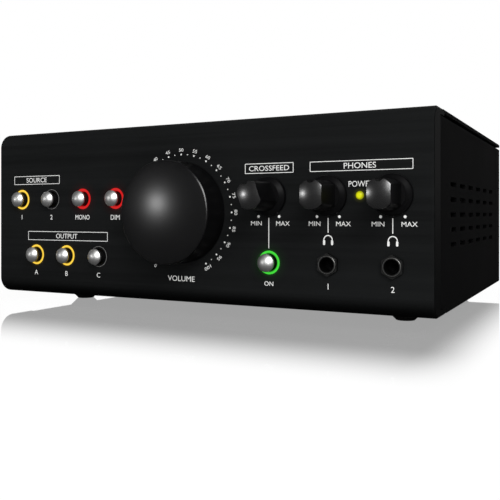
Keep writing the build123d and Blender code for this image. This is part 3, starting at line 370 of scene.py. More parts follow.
class Print:
    """A layer of ink, drawn flat round the origin and then laid on the front or the rear."""

    def __init__(self):
        self.sheet = bmesh.new()
        self.sizes = bpy.context.scene.controller_sizes

    def put(self, verts, place, turn=0.0):
        """Moves what was drawn round the origin to its place, turned clockwise."""
        matrix = Matrix.Translation((place[0], place[1], 0.0)) @ Matrix.Rotation(-turn, 4, "Z")
        bmesh.ops.transform(self.sheet, matrix=matrix, verts=verts)

    def thicken(self, faces):
        """Gives flat faces the thickness of the ink and returns all their vertices."""
        flat = {vert for face in faces for vert in face.verts}
        lifted = bmesh.ops.extrude_face_region(self.sheet, geom=list(faces), use_keep_orig=True)
        top = [part for part in lifted["geom"] if isinstance(part, bmesh.types.BMVert)]
        bmesh.ops.translate(self.sheet, vec=(0.0, 0.0, self.sizes.ink), verts=top)
        return list(flat) + top

    def word(self, text, place, height, width=0.0, turn=0.0):
        """A word of that height, drawn out to a width where one is given."""
        curve = bpy.data.curves.new(text, "FONT")
        curve.body = text
        curve.resolution_u = 3
        curve.extrude = self.sizes.ink / 2 / height
        letters = bpy.data.objects.new(text, curve)
        mesh = bpy.data.meshes.new_from_object(letters)
        old = set(self.sheet.verts)
        self.sheet.from_mesh(mesh)
        verts = [vert for vert in self.sheet.verts if vert not in old]
        low = [min(vert.co[axis] for vert in verts) for axis in range(3)]
        high = [max(vert.co[axis] for vert in verts) for axis in range(3)]
        tall = height / (high[1] - low[1])
        wide = width / (high[0] - low[0]) if width else tall
        bmesh.ops.translate(self.sheet, verts=verts,
                            vec=(-(low[0] + high[0]) / 2, -(low[1] + high[1]) / 2, -low[2]))
        bmesh.ops.scale(self.sheet, vec=(wide, tall, height), verts=verts)
        self.put(verts, place, turn)
        bpy.data.objects.remove(letters)
        bpy.data.curves.remove(curve)
        bpy.data.meshes.remove(mesh)

    def dot(self, place, radius):
        made = bmesh.ops.create_circle(self.sheet, cap_ends=True, segments=14, radius=radius)["verts"]
        faces = {face for vert in made for face in vert.link_faces}
        self.put(self.thicken(faces), place)

    def patch(self, width, height, corner):
        """A flat rectangle round the origin with rounded corners; returns its face."""
        made = bmesh.ops.create_grid(self.sheet, x_segments=1, y_segments=1, size=0.5)["verts"]
        bmesh.ops.scale(self.sheet, vec=(width, height, 1.0), verts=made)
        if corner:
            made = bmesh.ops.bevel(self.sheet, geom=made, offset=corner, segments=4, profile=0.5,
                                   affect="VERTICES", material=-1)["verts"]
        return next(face for face in made[0].link_faces)

    def bar(self, start, end, width):
        start, end = Vector(start), Vector(end)
        along = end - start
        face = self.patch(width, along.length, 0.0)
        self.put(self.thicken([face]), (start + end) / 2, math.atan2(along.x, along.y))

    def frame(self, place, width, height):
        """A thin frame with rounded corners."""
        corner = 0.3 * MM
        face = self.patch(width, height, corner)
        rim = bmesh.ops.inset_individual(self.sheet, faces=[face], thickness=self.sizes.line,
                                         use_even_offset=True)["faces"]
        bmesh.ops.delete(self.sheet, geom=[face], context="FACES_ONLY")
        self.put(self.thicken(rim), place)

    def headphones(self, place, size):
        """A plain sign for headphones: a band over two cups."""
        radius, band, band_rise = 0.42 * size, 0.085 * size, 0.06 * size
        cup_width, cup_height, cup_corner = 0.19 * size, 0.42 * size, 0.07 * size
        cup_out, cup_drop = 0.36 * size, 0.16 * size
        ends = [self.sheet.verts.new((-radius + gap, 0.0, 0.0)) for gap in (0.0, band)]
        edge = self.sheet.edges.new(ends)
        bmesh.ops.spin(self.sheet, geom=ends + [edge], cent=(0.0, 0.0, 0.0), axis=(0.0, 0.0, -1.0),
                       angle=math.pi, steps=14, use_merge=False)
        faces = {face for vert in ends for face in vert.link_faces}
        reach = list(faces)
        while reach:
            for vert in reach.pop().verts:
                for face in vert.link_faces:
                    if face not in faces:
                        faces.add(face)
                        reach.append(face)
        self.put(self.thicken(faces), (place[0], place[1] + band_rise))
        for side in (-1.0, 1.0):
            cup = self.patch(cup_width, cup_height, cup_corner)
            self.put(self.thicken([cup]), (place[0] + side * cup_out, place[1] - cup_drop))

    def heading(self, text):
        """A framed word over the controls that it names."""
        first, last, *sizes = HEADINGS[text]
        rise, width, height, letter, spread = (size * MM for size in sizes)
        first, last = on_front(first), on_front(last)
        place = Vector(((first.x + last.x) / 2, first.y + rise))
        self.frame(place, width, height)
        self.word(text, place, letter, spread)

    def lay(self, name, rear=False):
        """Lays the print on the front, or on the rear panel."""
        verts = self.sheet.verts
        bmesh.ops.recalc_face_normals(self.sheet, faces=self.sheet.faces)
        bmesh.ops.rotate(self.sheet, verts=verts, matrix=Matrix.Rotation(math.pi / 2, 3, "X"))
        if rear:
            bmesh.ops.rotate(self.sheet, verts=verts, matrix=Matrix.Rotation(math.pi, 3, "Z"))
        bmesh.ops.translate(self.sheet, verts=verts, vec=(0.0, REAR if rear else FRONT, 0.0))
        settle(name, self.sheet, ink_finish(), "case")


def ink_finish():
    """Screen-printed pale ink, slightly uneven."""
    colours = bpy.context.scene.controller_colours
    ink = Finish("panel_ink", roughness=0.6, specular_ior_level=0.2)
    uneven = ink.noise(900.0, 3.0, 0.6)
    ink.set("Base Color", ink.blend(uneven, scaled(colours.ink, 0.82), scaled(colours.ink, 1.14)))
    return ink


# -------- finishes of the casing

class CONTROLLER_OT_casing(Operator):
    """Finish the front bezel, the painted sheet parts, the feet and the screws"""
    bl_idname = "controller.casing"
    bl_label = "Casing"

    def execute(self, context):
        colours = context.scene.controller_colours
        self.bezel(colours)
        self.paint(colours)
        self.rubber()
        self.screws()
        return {"FINISHED"}

    def bezel(self, colours):
        """Brushed and anodised aluminium: the grain runs across the front; painted shade darkens the
        lower roundover and the side cheeks.
        """
        skin = Finish("brushed_black", specular_ior_level=0.008, emission_strength=1.0)
        low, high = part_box("front_bezel")
        x, _, z = skin.axes()
        grain = skin.noise((30.0, 2600.0, 2600.0), 4.0, 0.65)
        bands = skin.noise((3.0, 190.0, 190.0), 3.0, 0.6)
        cloud = skin.noise(14.0, 2.0)
        tone = (0.55 * bands + 0.25 * grain + 0.2 * cloud).rise(0.3, 0.7)
        face = skin.blend(tone, scaled(colours.panel, 0.75), scaled(colours.panel, 1.3))
        # Painted shade: the lower roundover and the side cheeks get a third of the panel's colour.
        flat = (z - low.z).rise(2 * MM, 9 * MM) * (abs(x) - high.x).fall(-0.3 * MM, -0.1 * MM)
        skin.set("Base Color", skin.blend(flat, scaled(colours.panel, 0.3), face))
        skin.set("Roughness", 0.50 + 0.16 * grain)
        skin.bump(grain, 0.012 * MM, 0.35)
        self.halo(skin, colours)
        dress(skin, "front_bezel")

    def halo(self, skin, colours):
        """Painted light: the faint glow that the rings and the lamp throw on the front round them, in
        its emission.
        """
        close, wide = (4.9 * MM, 6.5 * MM), (4.0 * MM, 10.5 * MM)
        lit = BLACK
        for name, (shade, *_, near, far) in LIGHTS.items():
            gap = skin.from_axis([on_front(button + "_button") for button in RINGS[name]])
            # Painted light: emission on the front, bright close to each ring and fading further out.
            glow = gap.fall(*close) * near + gap.fall(*wide) * far
            lit = skin.blend(glow, lit, tuple(getattr(colours, shade)))
        gap = skin.from_axis([on_front("power_lamp")])
        lit = skin.blend(gap.fall(1.6 * MM, 3.4 * MM) * 0.03, lit, tuple(colours.yellow))
        skin.set("Emission Color", lit)

    def paint(self, colours):
        """Fine powder paint with a dense orange-peel grain."""
        skin = Finish("powder_paint", specular_ior_level=0.015)
        grain = skin.noise(3400.0, 3.0, 0.55)
        cloud = skin.noise(38.0, 3.0)
        mottle = 0.5 * grain + 0.5 * cloud
        dark, light = scaled(colours.paint, 0.75), scaled(colours.paint, 1.3)
        skin.set("Base Color", skin.blend(mottle, dark, light))
        skin.set("Roughness", 0.84 + 0.12 * cloud)
        skin.bump(grain, 0.03 * MM, 0.4)
        dress(skin, "chassis_tray", "top_cover", "rear_panel")

    def rubber(self):
        skin = Finish("foot_rubber", specular_ior_level=0.12)
        grain = skin.noise(2600.0, 2.0)
        dust = skin.noise(160.0, 4.0, 0.7).rise(0.45, 0.75)
        skin.set("Base Color", skin.blend(dust, (0.010, 0.010, 0.010), (0.020, 0.0195, 0.019)))
        skin.set("Roughness", 0.7 + 0.15 * grain)
        skin.bump(grain, 0.03 * MM, 0.4)
        dress(skin, "rubber_feet")

    def screws(self):
        """Black zinc on the case screws, bright zinc where they are hidden."""
        black = Finish("black_zinc", specular_ior_level=0.35, metallic=0.6)
        rub = black.noise(1500.0, 4.0, 0.7).rise(0.5, 0.8)
        black.vary(rub, (0.012, 0.012, 0.013), (0.060, 0.058, 0.055), 0.34, 0.2)
        black.bump(rub, 0.01 * MM, 0.3)
        dress(black, "cover_screws", "bezel_screws", "rear_screws", "foot_screws")
        bright = Finish("bright_zinc", metallic=1.0)
        haze = bright.noise(700.0, 4.0, 0.6)
        bright.vary(haze, (0.52, 0.52, 0.50), (0.68, 0.68, 0.66), 0.25, 0.2)
        dress(bright, "main_standoffs", "main_board_screws", "control_spacers", "control_screws")


# -------- finishes of the inside

class CONTROLLER_OT_boards(Operator):
    """Finish the circuit boards and what they carry"""
    bl_idname = "controller.boards"
    bl_label = "Boards"

    def execute(self, context):
        self.boards()
        self.cans()
        self.heat_sink()
        self.chips()
        self.ribbons()
        self.pots()
        return {"FINISHED"}

    def boards(self):
        """Green solder mask over copper runs, with tinned pads."""
        mask = Finish("solder_mask", specular_ior_level=0.5)
        runs = mask.node("ShaderNodeTexBrick", {"offset": 0.37, "offset_frequency": 2, "squash": 1.6,
                                                "squash_frequency": 3},
                         {"Vector": mask.place((1.0, 1.0, 1.0), (0.002, 0.003, 0.0)), "Scale": 1.0,
                          "Mortar Size": 0.00016, "Mortar Smooth": 0.3, "Brick Width": 0.0085,
                          "Row Height": 0.0022}, "Fac")
        weave = mask.noise(1200.0, 2.0)
        cells = mask.node("ShaderNodeTexVoronoi", {"feature": "F1"},
                          {"Vector": mask.place((230.0, 230.0, 230.0)), "Scale": 1.0,
                           "Randomness": 0.25}, "Distance")
        pads = 1.0 - cells.rise(0.10, 0.13)
        laminate = mask.blend(weave, (0.004, 0.050, 0.018), (0.007, 0.075, 0.028))
        traced = mask.blend(runs, laminate, (0.012, 0.120, 0.048))
        mask.set("Base Color", mask.blend(pads, traced, (0.60, 0.58, 0.52)))
        mask.set("Metallic", pads * 0.9)
        mask.set("Roughness", 0.38 + 0.1 * weave)
        mask.bump(runs * 0.5 + pads, 0.04 * MM, 0.5)
        dress(mask, "main_board", "control_board", "jack_board")

    def cans(self):
        """Sleeved cans with a pale stripe and a bare top."""
        sleeve = Finish("can_sleeve", specular_ior_level=0.4)
        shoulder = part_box("capacitors")[1].z - 0.5 * MM
        bare = (sleeve.axes()[2] - shoulder).rise(0.0, 0.1 * MM)
        speck = sleeve.noise(800.0, 2.0)
        bands = sleeve.node("ShaderNodeTexWave", {"wave_type": "BANDS", "bands_direction": "X"},
                            {"Vector": sleeve.place(), "Scale": 22.0, "Distortion": 0.0}, "Fac")
        stripe = bands.rise(0.93, 0.96)
        wrapped = sleeve.blend(stripe, (0.008, 0.012, 0.045), (0.35, 0.36, 0.38))
        sleeve.set("Base Color", sleeve.blend(bare, wrapped, (0.60, 0.60, 0.61)))
        sleeve.set("Metallic", bare)
        sleeve.set("Roughness", 0.32 + 0.14 * speck)
        dress(sleeve, "capacitors")

    def heat_sink(self):
        fins = Finish("black_sink", metallic=0.7, specular_ior_level=0.3)
        drawn = fins.noise((1600.0, 1600.0, 40.0), 3.0)
        fins.vary(drawn, (0.014, 0.014, 0.015), (0.035, 0.035, 0.036), 0.38, 0.2)
        fins.bump(drawn, 0.02 * MM, 0.3)
        dress(fins, "heat_sink")

    def chips(self):
        """Moulded black packages with a fine matt grain, and the milky lamps behind the rings."""
        body = Finish("chip_body", specular_ior_level=0.3)
        grain = body.noise(3000.0, 2.0)
        body.vary(grain, (0.012, 0.012, 0.013), (0.026, 0.026, 0.027), 0.55, 0.2)
        body.bump(grain, 0.02 * MM, 0.4)
        dress(body, "regulator", "relays", "amplifier_chips", "ribbon_headers", "push_switches")
        lens = Finish("lamp_chip", specular_ior_level=0.5)
        milky = lens.noise(1500.0, 2.0)
        lens.vary(milky, (0.55, 0.52, 0.40), (0.75, 0.72, 0.60), 0.3, 0.1)
        dress(lens, "ring_lamps")

    def ribbons(self):
        """Flat cable: grey cores side by side, and a red one at the edge; painted shade darkens the
        grooves.
        """
        for name in ("front_ribbon", "rear_ribbon"):
            lead = Finish(name + "_sleeve", specular_ior_level=0.35)
            across = lead.axes()[0]
            groove = (across * (2 * math.pi / WIRE_PITCH)).wave()
            edge = (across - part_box(name)[0].x).fall(1.1 * MM, 1.3 * MM)
            # Painted shade: the colour darkens down the grooves between the cores.
            core = lead.blend(groove.rise(-1.0, 0.2), (0.10, 0.10, 0.105), (0.24, 0.24, 0.245))
            lead.set("Base Color", lead.blend(edge, core, (0.30, 0.02, 0.02)))
            lead.set("Roughness", 0.4 + 0.1 * lead.noise(500.0))
            lead.bump(groove, 0.12 * MM, 0.8)
            dress(lead, name)

    def pots(self):
        """Pressed steel cans and turned shafts."""
        can = Finish("pot_can", metallic=1.0)
        haze = can.noise((400.0, 900.0, 400.0), 4.0, 0.6)
        can.vary(haze, (0.40, 0.40, 0.40), (0.62, 0.61, 0.58), 0.28, 0.18)
        dress(can, "volume_pot", "level_pots", "pot_nuts")
        rod = Finish("turned_shaft", metallic=1.0)
        rings = rod.noise((10.0, 5200.0, 10.0), 2.0)
        rod.vary(rings, (0.52, 0.51, 0.49), (0.70, 0.69, 0.66), 0.22, 0.14)
        rod.bump(rings, 0.01 * MM, 0.4)
        dress(rod, "volume_shaft", "crossfeed_shaft", "phones_1_shaft", "phones_2_shaft")


# -------- finishes of the controls

class CONTROLLER_OT_controls(Operator):
    """Finish the knobs, the button caps and the power lamp"""
    bl_idname = "controller.controls"
    bl_label = "Controls"

    def execute(self, context):
        colours = context.scene.controller_colours
        self.knobs(colours)
        self.caps(colours)
        self.lamp(colours)
        return {"FINISHED"}

    def knobs(self, colours):
        """Black, with matt sides: the volume knob's crown is satin, the others' ends are glossy."""
        satin = self.moulding("satin_knob", colours, 0.52, 0.235)
        matt = self.moulding("matt_skirt", colours, 0.08, 0.40)
        low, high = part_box("volume_knob")
        crown = (high.x - low.x) / 2 - 0.25 * MM
        recast("volume_knob", "volume_dial", satin, matt, crown)
        gloss = self.moulding("gloss_knob", colours, 1.0, 0.225)
        gloss.set("IOR", 1.65)
        grip, end = 6.6 * MM, 18.6 * MM
        for name in ("crossfeed", "phones_1", "phones_2"):
            recast(name + "_knob", name + "_dial", gloss, matt, grip, end)

    def moulding(self, name, colours, level, rough):
        """Moulded black with a very fine grain."""
        skin = Finish(name, specular_ior_level=level)
        grain = skin.noise(5200.0, 2.0, 0.5)
        cloud = skin.noise(70.0, 3.0)
        mottle = 0.5 * grain + 0.5 * cloud
        dark, light = scaled(colours.knob, 0.8), scaled(colours.knob, 1.25)
        skin.set("Base Color", skin.blend(mottle, dark, light))
        skin.set("Roughness", rough + 0.03 * cloud)
        skin.bump(grain, 0.004 * MM, 0.03)
        return skin

    def caps(self, colours):
        """Satin chromed domes, turned and lightly hazed, on dark stems."""
        skin = Finish("satin_silver", specular_ior_level=0.25)
        centres = [on_front(name + "_button") for name in BUTTONS]
        turned = (skin.from_axis(centres) * 42000.0).wave()
        haze = skin.noise(900.0, 3.0)
        cap_back, stem_start = -2.35 * MM, -2.25 * MM
        cap = (skin.axes()[1] - FRONT).fall(cap_back, stem_start)
        plated = skin.blend(haze, scaled(colours.silver, 0.9), scaled(colours.silver, 1.08))
        skin.set("Base Color", skin.blend(cap, (0.004, 0.004, 0.004), plated))
        skin.set("Metallic", cap)
        skin.set("Roughness", 0.42 + 0.03 * haze)
        skin.bump(turned, 0.002 * MM, 0.05)
        for name in BUTTONS:
            recast(name + "_button", name + "_key", skin)

    def lamp(self, colours):
        """A lit lens: in full light in the middle, deeper at the rim."""
        yellow = colours.yellow
        lens = Finish("lit_lens", specular_ior_level=0.1, roughness=0.2, emission_strength=1.0)
        core = lens.from_axis([on_front("power_lamp")]).fall(0.7 * MM, 1.75 * MM)
        lens.set("Base Color", lens.blend(core, scaled(yellow, 0.05), scaled(yellow, 0.08)))
        lens.set("Emission Color", lens.blend(core, scaled(yellow, 0.35), tuple(yellow)))
        dress(lens, "power_lamp")


class CONTROLLER_OT_light_rings(Operator):
    """Model the light rings round the buttons: a flat bright band and a dark cone down to the stem"""
    bl_idname = "controller.light_rings"
    bl_label = "Light rings"

    def execute(self, context):
        sizes, colours = context.scene.controller_sizes, context.scene.controller_colours
        for name, buttons in RINGS.items():
            places = [on_front(button + "_button") for button in buttons]
            if name in LIGHTS:
                shade, spill, start, full, *_ = LIGHTS[name]
                light = getattr(colours, shade)
                finish = self.lit(sizes, name, places, light, spill, start * MM, full * MM)
            else:
                finish = self.unlit(sizes, name, places)
            self.rings(sizes, name, places, finish)
        return {"FINISHED"}

    def rings(self, sizes, name, places, finish):
        """Turns one lens for each button; the profile is a radius and a depth behind the front."""
        outer, bore = sizes.ring_radius, sizes.ring_bore
        step = outer - sizes.ring_band
        crest = outer - 0.4 * sizes.ring_band
        back = 2.2 * MM
        profile = ((outer, 0.12 * MM), (outer - 0.10 * MM, 0.01 * MM), (crest, 0.0),
                   (step + 0.08 * MM, 0.02 * MM), (step, 0.14 * MM), (bore + 0.25 * MM, 0.75 * MM),
                   (bore, 1.05 * MM), (bore, back), (outer, back))
        sheet = bmesh.new()
        for place in places:
            loop = [sheet.verts.new((place.x + radius, FRONT + depth, place.y))
                    for radius, depth in profile]
            edges = [sheet.edges.new(pair) for pair in zip(loop, loop[1:] + loop[:1])]
            bmesh.ops.spin(sheet, geom=loop + edges, cent=(place.x, FRONT, place.y),
                           axis=(0.0, 1.0, 0.0), angle=2 * math.pi, steps=56, use_merge=True)
        bmesh.ops.remove_doubles(sheet, verts=sheet.verts, dist=1e-7)
        bmesh.ops.recalc_face_normals(sheet, faces=sheet.faces)
        for face in sheet.faces:
            face.smooth = True
        piece = settle(name[:-1] + "_lenses", sheet, finish, "case", (name,))
        piece.data.set_sharp_from_angle(angle=math.radians(28))

    def lit(self, sizes, name, places, light, spill, start, full):
        """Glows on the band, from start to full past its inner edge, and spills towards the stem."""
        lens = Finish(name + "_light", specular_ior_level=0.03, roughness=0.3, emission_strength=1.0)
        gap = lens.from_axis(places)
        inner = sizes.ring_radius - sizes.ring_band
        band = gap.rise(inner + start, inner + full)
        glow = gap.rise(sizes.ring_bore - 0.3 * MM, inner) * spill
        spots = lens.noise(520.0, 2.0)
        hot = band * (0.9 + 0.2 * spots)
        lens.set("Base Color", lens.blend(band, (0.003, 0.003, 0.003), scaled(light, 0.15)))
        shade = lens.blend(glow, BLACK, tuple(light))
        lens.set("Emission Color", lens.blend(hot, shade, tuple(light)))
        return lens

    def unlit(self, sizes, name, places):
        """Smoked, with a pale line at the rim."""
        lens = Finish(name + "_smoke", specular_ior_level=0.04)
        gap = lens.from_axis(places)
        rim = gap.rise(sizes.ring_radius - 0.30 * MM, sizes.ring_radius - 0.18 * MM)
        lens.set("Base Color", lens.blend(rim, (0.003, 0.003, 0.0033), (0.12, 0.12, 0.117)))
        lens.set("Roughness", 0.35 + 0.1 * lens.noise(900.0))
        return lens


# -------- finishes of the connectors

class CONTROLLER_OT_connectors(Operator):
    """Finish the jacks, the rear sockets and the rocker"""
    bl_idname = "controller.connectors"
    bl_label = "Connectors"

    def execute(self, context):
        self.nickel()
        self.black_nickel()
        self.nylon()
        self.phono()
        self.square_socket()
        self.rocker()
        return {"FINISHED"}

    def nickel(self):
        """Bright plating over a fine thread."""
        plate = Finish("nickel", metallic=1.0)
        thread = (plate.axes()[1] * (2 * math.pi / THREAD_PITCH)).wave()
        haze = plate.noise(900.0, 4.0, 0.6)
        plate.vary(haze, (0.50, 0.49, 0.46), (0.66, 0.65, 0.61), 0.20, 0.14)
        plate.bump(thread, 0.10 * MM, 0.35)
        dress(plate, "rear_sleeves")

    def black_nickel(self):
        """Dark plating, with a painted highlight as a bright ring round the opening of each phones
        jack.
        """
        level = middle("phones_sleeves").z
        places = [Vector((on_front(name).x, level)) for name in ("phones_1_knob", "phones_2_knob")]
        plate = Finish("black_nickel", metallic=1.0)
        gap = plate.from_axis(places)
        haze = plate.noise(900.0, 4.0, 0.6)
        # Painted highlight: a bright ring on the chamfer round each opening.
        painted_mouth_glint = gap.rise(3.55 * MM, 3.65 * MM) * gap.fall(3.8 * MM, 3.9 * MM)
        dark = plate.blend(haze, (0.026, 0.026, 0.0265), (0.052, 0.052, 0.051))
        plate.set("Base Color", plate.blend(painted_mouth_glint, dark, (0.30, 0.30, 0.29)))
        plate.set("Roughness", 0.34 + 0.12 * haze)
        dress(plate, "phones_sleeves", "jack_nuts")

    def nylon(self):
        """Fine-grained black mouldings."""
        skin = Finish("black_nylon", specular_ior_level=0.35)
        grain = skin.noise(2400.0, 3.0)
        skin.vary(grain, *NYLON, 0.45, 0.15)
        skin.bump(grain, 0.02 * MM, 0.35)
        dress(skin, "phones_jacks", "rear_jacks", "power_inlet", "rocker_switch")

    def moulded(self, skin, marked, tint, plated=None):
        """Black moulding with a tint where it is marked and, on a metal part, nickel where plated."""
        grain = skin.noise(2400.0, 3.0)
        shade = skin.blend(marked, skin.blend(grain, *NYLON), tint)
        rough = 0.45 + 0.15 * grain
        if plated is not None:
            shade = skin.blend(plated, shade, (0.58, 0.57, 0.54))
            rough = rough - 0.22 * plated
            skin.set("Metallic", plated)
        skin.set("Base Color", shade)
        skin.set("Roughness", rough)
        skin.bump(grain, 0.02 * MM, 0.3)

    def phono(self):
        """Nickel barrels, the left with a white and the right with a red insulator."""
        left, right = PLACES["phono_left_barrel"], PLACES["phono_right_barrel"]
        white, red = (0.62, 0.62, 0.60), (0.50, 0.015, 0.015)
        lower, upper = (red, white) if right.y < left.y else (white, red)
        skin = Finish("phono_moulding", specular_ior_level=0.35)
        _, y, z = skin.axes()
        gap = skin.from_axis([left, right])
        ring = gap.rise(3.2 * MM, 3.3 * MM) * gap.fall(4.95 * MM, 5.05 * MM)
        barrel = ring * (y - REAR).rise(0.0, 0.1 * MM)
        tint = skin.blend((z - (left.y + right.y) / 2).above(0.0), lower, upper)
        self.moulded(skin, gap.fall(2.6 * MM, 2.7 * MM), tint, barrel)
        dress(skin, "phono_sockets")

    def square_socket(self):
        """Nickel shell round a dark cavity with a pale tongue."""
        spot = on_front("usb_socket")
        skin = Finish("square_socket_shell", specular_ior_level=0.35)
        x, y, z = skin.axes()
        across, up = abs(x - spot.x), abs(z - spot.y)
        wall = (across - 4.15 * MM).most(up - 3.85 * MM).above(0.0)
        shell = wall * (y - REAR).rise(-0.3 * MM, -0.2 * MM)
        tongue = 1.0 - (across - 2.85 * MM).most(up - 1.65 * MM).above(0.0)
        self.moulded(skin, tongue, (0.30, 0.30, 0.29), shell)
        dress(skin, "usb_socket")

    def rocker(self):
        """White marks on the two ends of the rocker's dished face: a stroke above, a ring below."""
        spot = on_front("power_rocker")
        off, half_line = 4.6 * MM, 0.30 * MM
        skin = Finish("rocker_nylon", specular_ior_level=0.35)
        x, y, z = skin.axes()
        face = (y - REAR).rise(1.0 * MM, 1.2 * MM)
        stroke = (half_line - abs(x - spot.x)).least(1.5 * MM - abs(z - (spot.y + off)))
        gap = skin.from_axis([Vector((spot.x, spot.y - off))])
        ring = half_line - abs(gap - 1.35 * MM)
        self.moulded(skin, stroke.most(ring).above(0.0) * face, (0.62, 0.62, 0.60))
        dress(skin, "power_rocker")


# -------- legends

class CONTROLLER_OT_button_legends(Operator):
    """Print the framed headings and the letters under the push buttons"""
    bl_idname = "controller.button_legends"
    bl_label = "Button legends"

    def execute(self, context):
        drop = 9.35 * MM
        words = {"source_1": "1", "source_2": "2", "mono": "MONO", "dim": "DIM",
                 "output_a": "A", "output_b": "B", "output_c": "C"}
        widths = {"MONO": 9.3 * MM, "DIM": 5.6 * MM}
        sheet = Print()
        for name, text in words.items():
            spot = on_front(name + "_button")
            sheet.word(text, (spot.x, spot.y - drop), sheet.sizes.letter, widths.get(text, 0.0))
        sheet.heading("SOURCE")
        sheet.heading("OUTPUT")
        sheet.lay("button_legends")
        return {"FINISHED"}


class CONTROLLER_OT_level_legends(Operator):
    """Print the legends of the crossfeed and phones controls"""
    bl_idname = "controller.level_legends"
    bl_label = "Level legends"

    def execute(self, context):
        dot_across, dot_drop, dot_radius = 5.05 * MM, 8.85 * MM, 0.62 * MM
        word_drop, line_top, sign_drop, number_drop = 11.85 * MM, 9.45 * MM, 19.0 * MM, 38.35 * MM
        line_foot = {"crossfeed": 22.8 * MM, "phones_1": 15.7 * MM, "phones_2": 15.7 * MM}
        sheet = Print()
        sizes = sheet.sizes
        for name, foot in line_foot.items():
            spot = on_front(name + "_shaft")
            for side, text, across, width in ((-1, "MIN", -6.15, 5.35), (1, "MAX", 6.85, 6.5)):
                sheet.dot((spot.x + side * dot_across, spot.y - dot_drop), dot_radius)
                place = (spot.x + across * MM, spot.y - word_drop)
                sheet.word(text, place, sizes.small_letter, width * MM)
            sheet.bar((spot.x, spot.y - line_top), (spot.x, spot.y - foot), sizes.line * 1.25)
        sheet.heading("CROSSFEED")
        button = on_front("crossfeed_button")
        sheet.word("ON", (button.x, button.y - 9.3 * MM), 1.95 * MM, 4.4 * MM)
        sheet.heading("PHONES")
        lamp = on_front("power_lamp")
        sheet.word("POWER", (lamp.x + 0.5 * MM, lamp.y + 4.75 * MM), 2.45 * MM, 10.7 * MM)
        for text in ("1", "2"):
            spot = on_front("phones_" + text + "_shaft")
            sheet.headphones((spot.x, spot.y - sign_drop), 5.0 * MM)
            sheet.word(text, (spot.x, spot.y - number_drop), sizes.letter)
        sheet.lay("level_legends")
        return {"FINISHED"}


class CONTROLLER_OT_volume_scale(Operator):
    """Print the dots and numbers round the volume knob"""
    bl_idname = "controller.volume_scale"
    bl_label = "Volume scale"

    def execute(self, context):
        start, pitch, dots = -150.0, 7.5, 41
        numeral_out, digit_width = 2.15 * MM, 1.22 * MM
        spot = on_front("volume_shaft")
        sheet = Print()
        sizes = sheet.sizes
        for step in range(dots):
            angle = math.radians(start + pitch * step)
            out = Vector((math.sin(angle), math.cos(angle)))
            numbered = step % 2 == 0
            radius = sizes.large_dot if numbered else sizes.small_dot
            sheet.dot(spot + out * sizes.scale_radius, radius)
            if numbered:
                value = str(step * 5 // 2)
                sheet.word(value, spot + out * (sizes.scale_radius + numeral_out), sizes.numeral,
                           len(value) * digit_width, angle)
        sheet.word("VOLUME", (spot.x, spot.y - 31.1 * MM), HEADING_LETTER, 15.0 * MM)
        sheet.lay("volume_scale")
        return {"FINISHED"}


class CONTROLLER_OT_rear_legends(Operator):
    """Print the legends beside the rear sockets"""
    bl_idname = "controller.rear_legends"
    bl_label = "Rear legends"

    def execute(self, context):
        self.sheet = Print()
        self.sizes = self.sheet.sizes
        jack_clear, barrel_clear = 8.2 * MM, 6.6 * MM
        pairs = {"A": "output_a", "B": "output_b", "C": "output_c", "1": "line_input"}
        for text, name in pairs.items():
            self.pair(text, name + "_left_jack", name + "_right_jack", jack_clear)
        self.pair("2", "phono_left_barrel", "phono_right_barrel", barrel_clear)
        self.heading("OUTPUT", "output_a_left_jack", "output_c_left_jack", 14.3 * MM)
        self.heading("INPUT", "line_input_left_jack", "phono_left_barrel", 11.4 * MM)
        self.over("power_rocker", "POWER", 14.2 * MM, self.sizes.letter, 11.5 * MM)
        self.over("power_inlet", "DC IN", 8.2 * MM, self.sizes.small_letter, 8.0 * MM)
        self.over("usb_socket", "2", 8.2 * MM, self.sizes.letter)
        self.sheet.lay("rear_legends", rear=True)
        return {"FINISHED"}

    def spot(self, name):
        """A rear socket's place as it is seen from behind."""
        return Vector((-PLACES[name].x, PLACES[name].y))

    def over(self, node, text, rise, letter, width=0.0):
        """A word over a node, as it is seen from behind."""
        place = on_front(node)
        self.sheet.word(text, (-place.x, place.y + rise), letter, width)

    def pair(self, text, left, right, clear):
        """A letter over two sockets, a line that joins them, and which side each carries."""
        left, right = self.spot(left), self.spot(right)
        top, foot = max(left.y, right.y), min(left.y, right.y)
        self.sheet.word(text, (left.x, top + clear + 1.8 * MM), self.sizes.letter)
        if top - foot > 2.2 * clear:
            self.sheet.bar((left.x, foot + clear), (left.x, top - clear), self.sizes.line * 1.25)
        for side, place in (("L", left), ("R", right)):
            self.sheet.word(side, (place.x - clear - 1.1 * MM, place.y), self.sizes.small_letter)

    def heading(self, text, first, last, width):
        """A framed word under a group of sockets."""
        start, end = sorted((self.spot(first).x, self.spot(last).x))
        place = ((start + end) / 2, 21.5 * MM)
        self.sheet.frame(place, end - start + 17 * MM, 4.6 * MM)
        self.sheet.word(text, place, HEADING_LETTER, width)


# -------- the stage

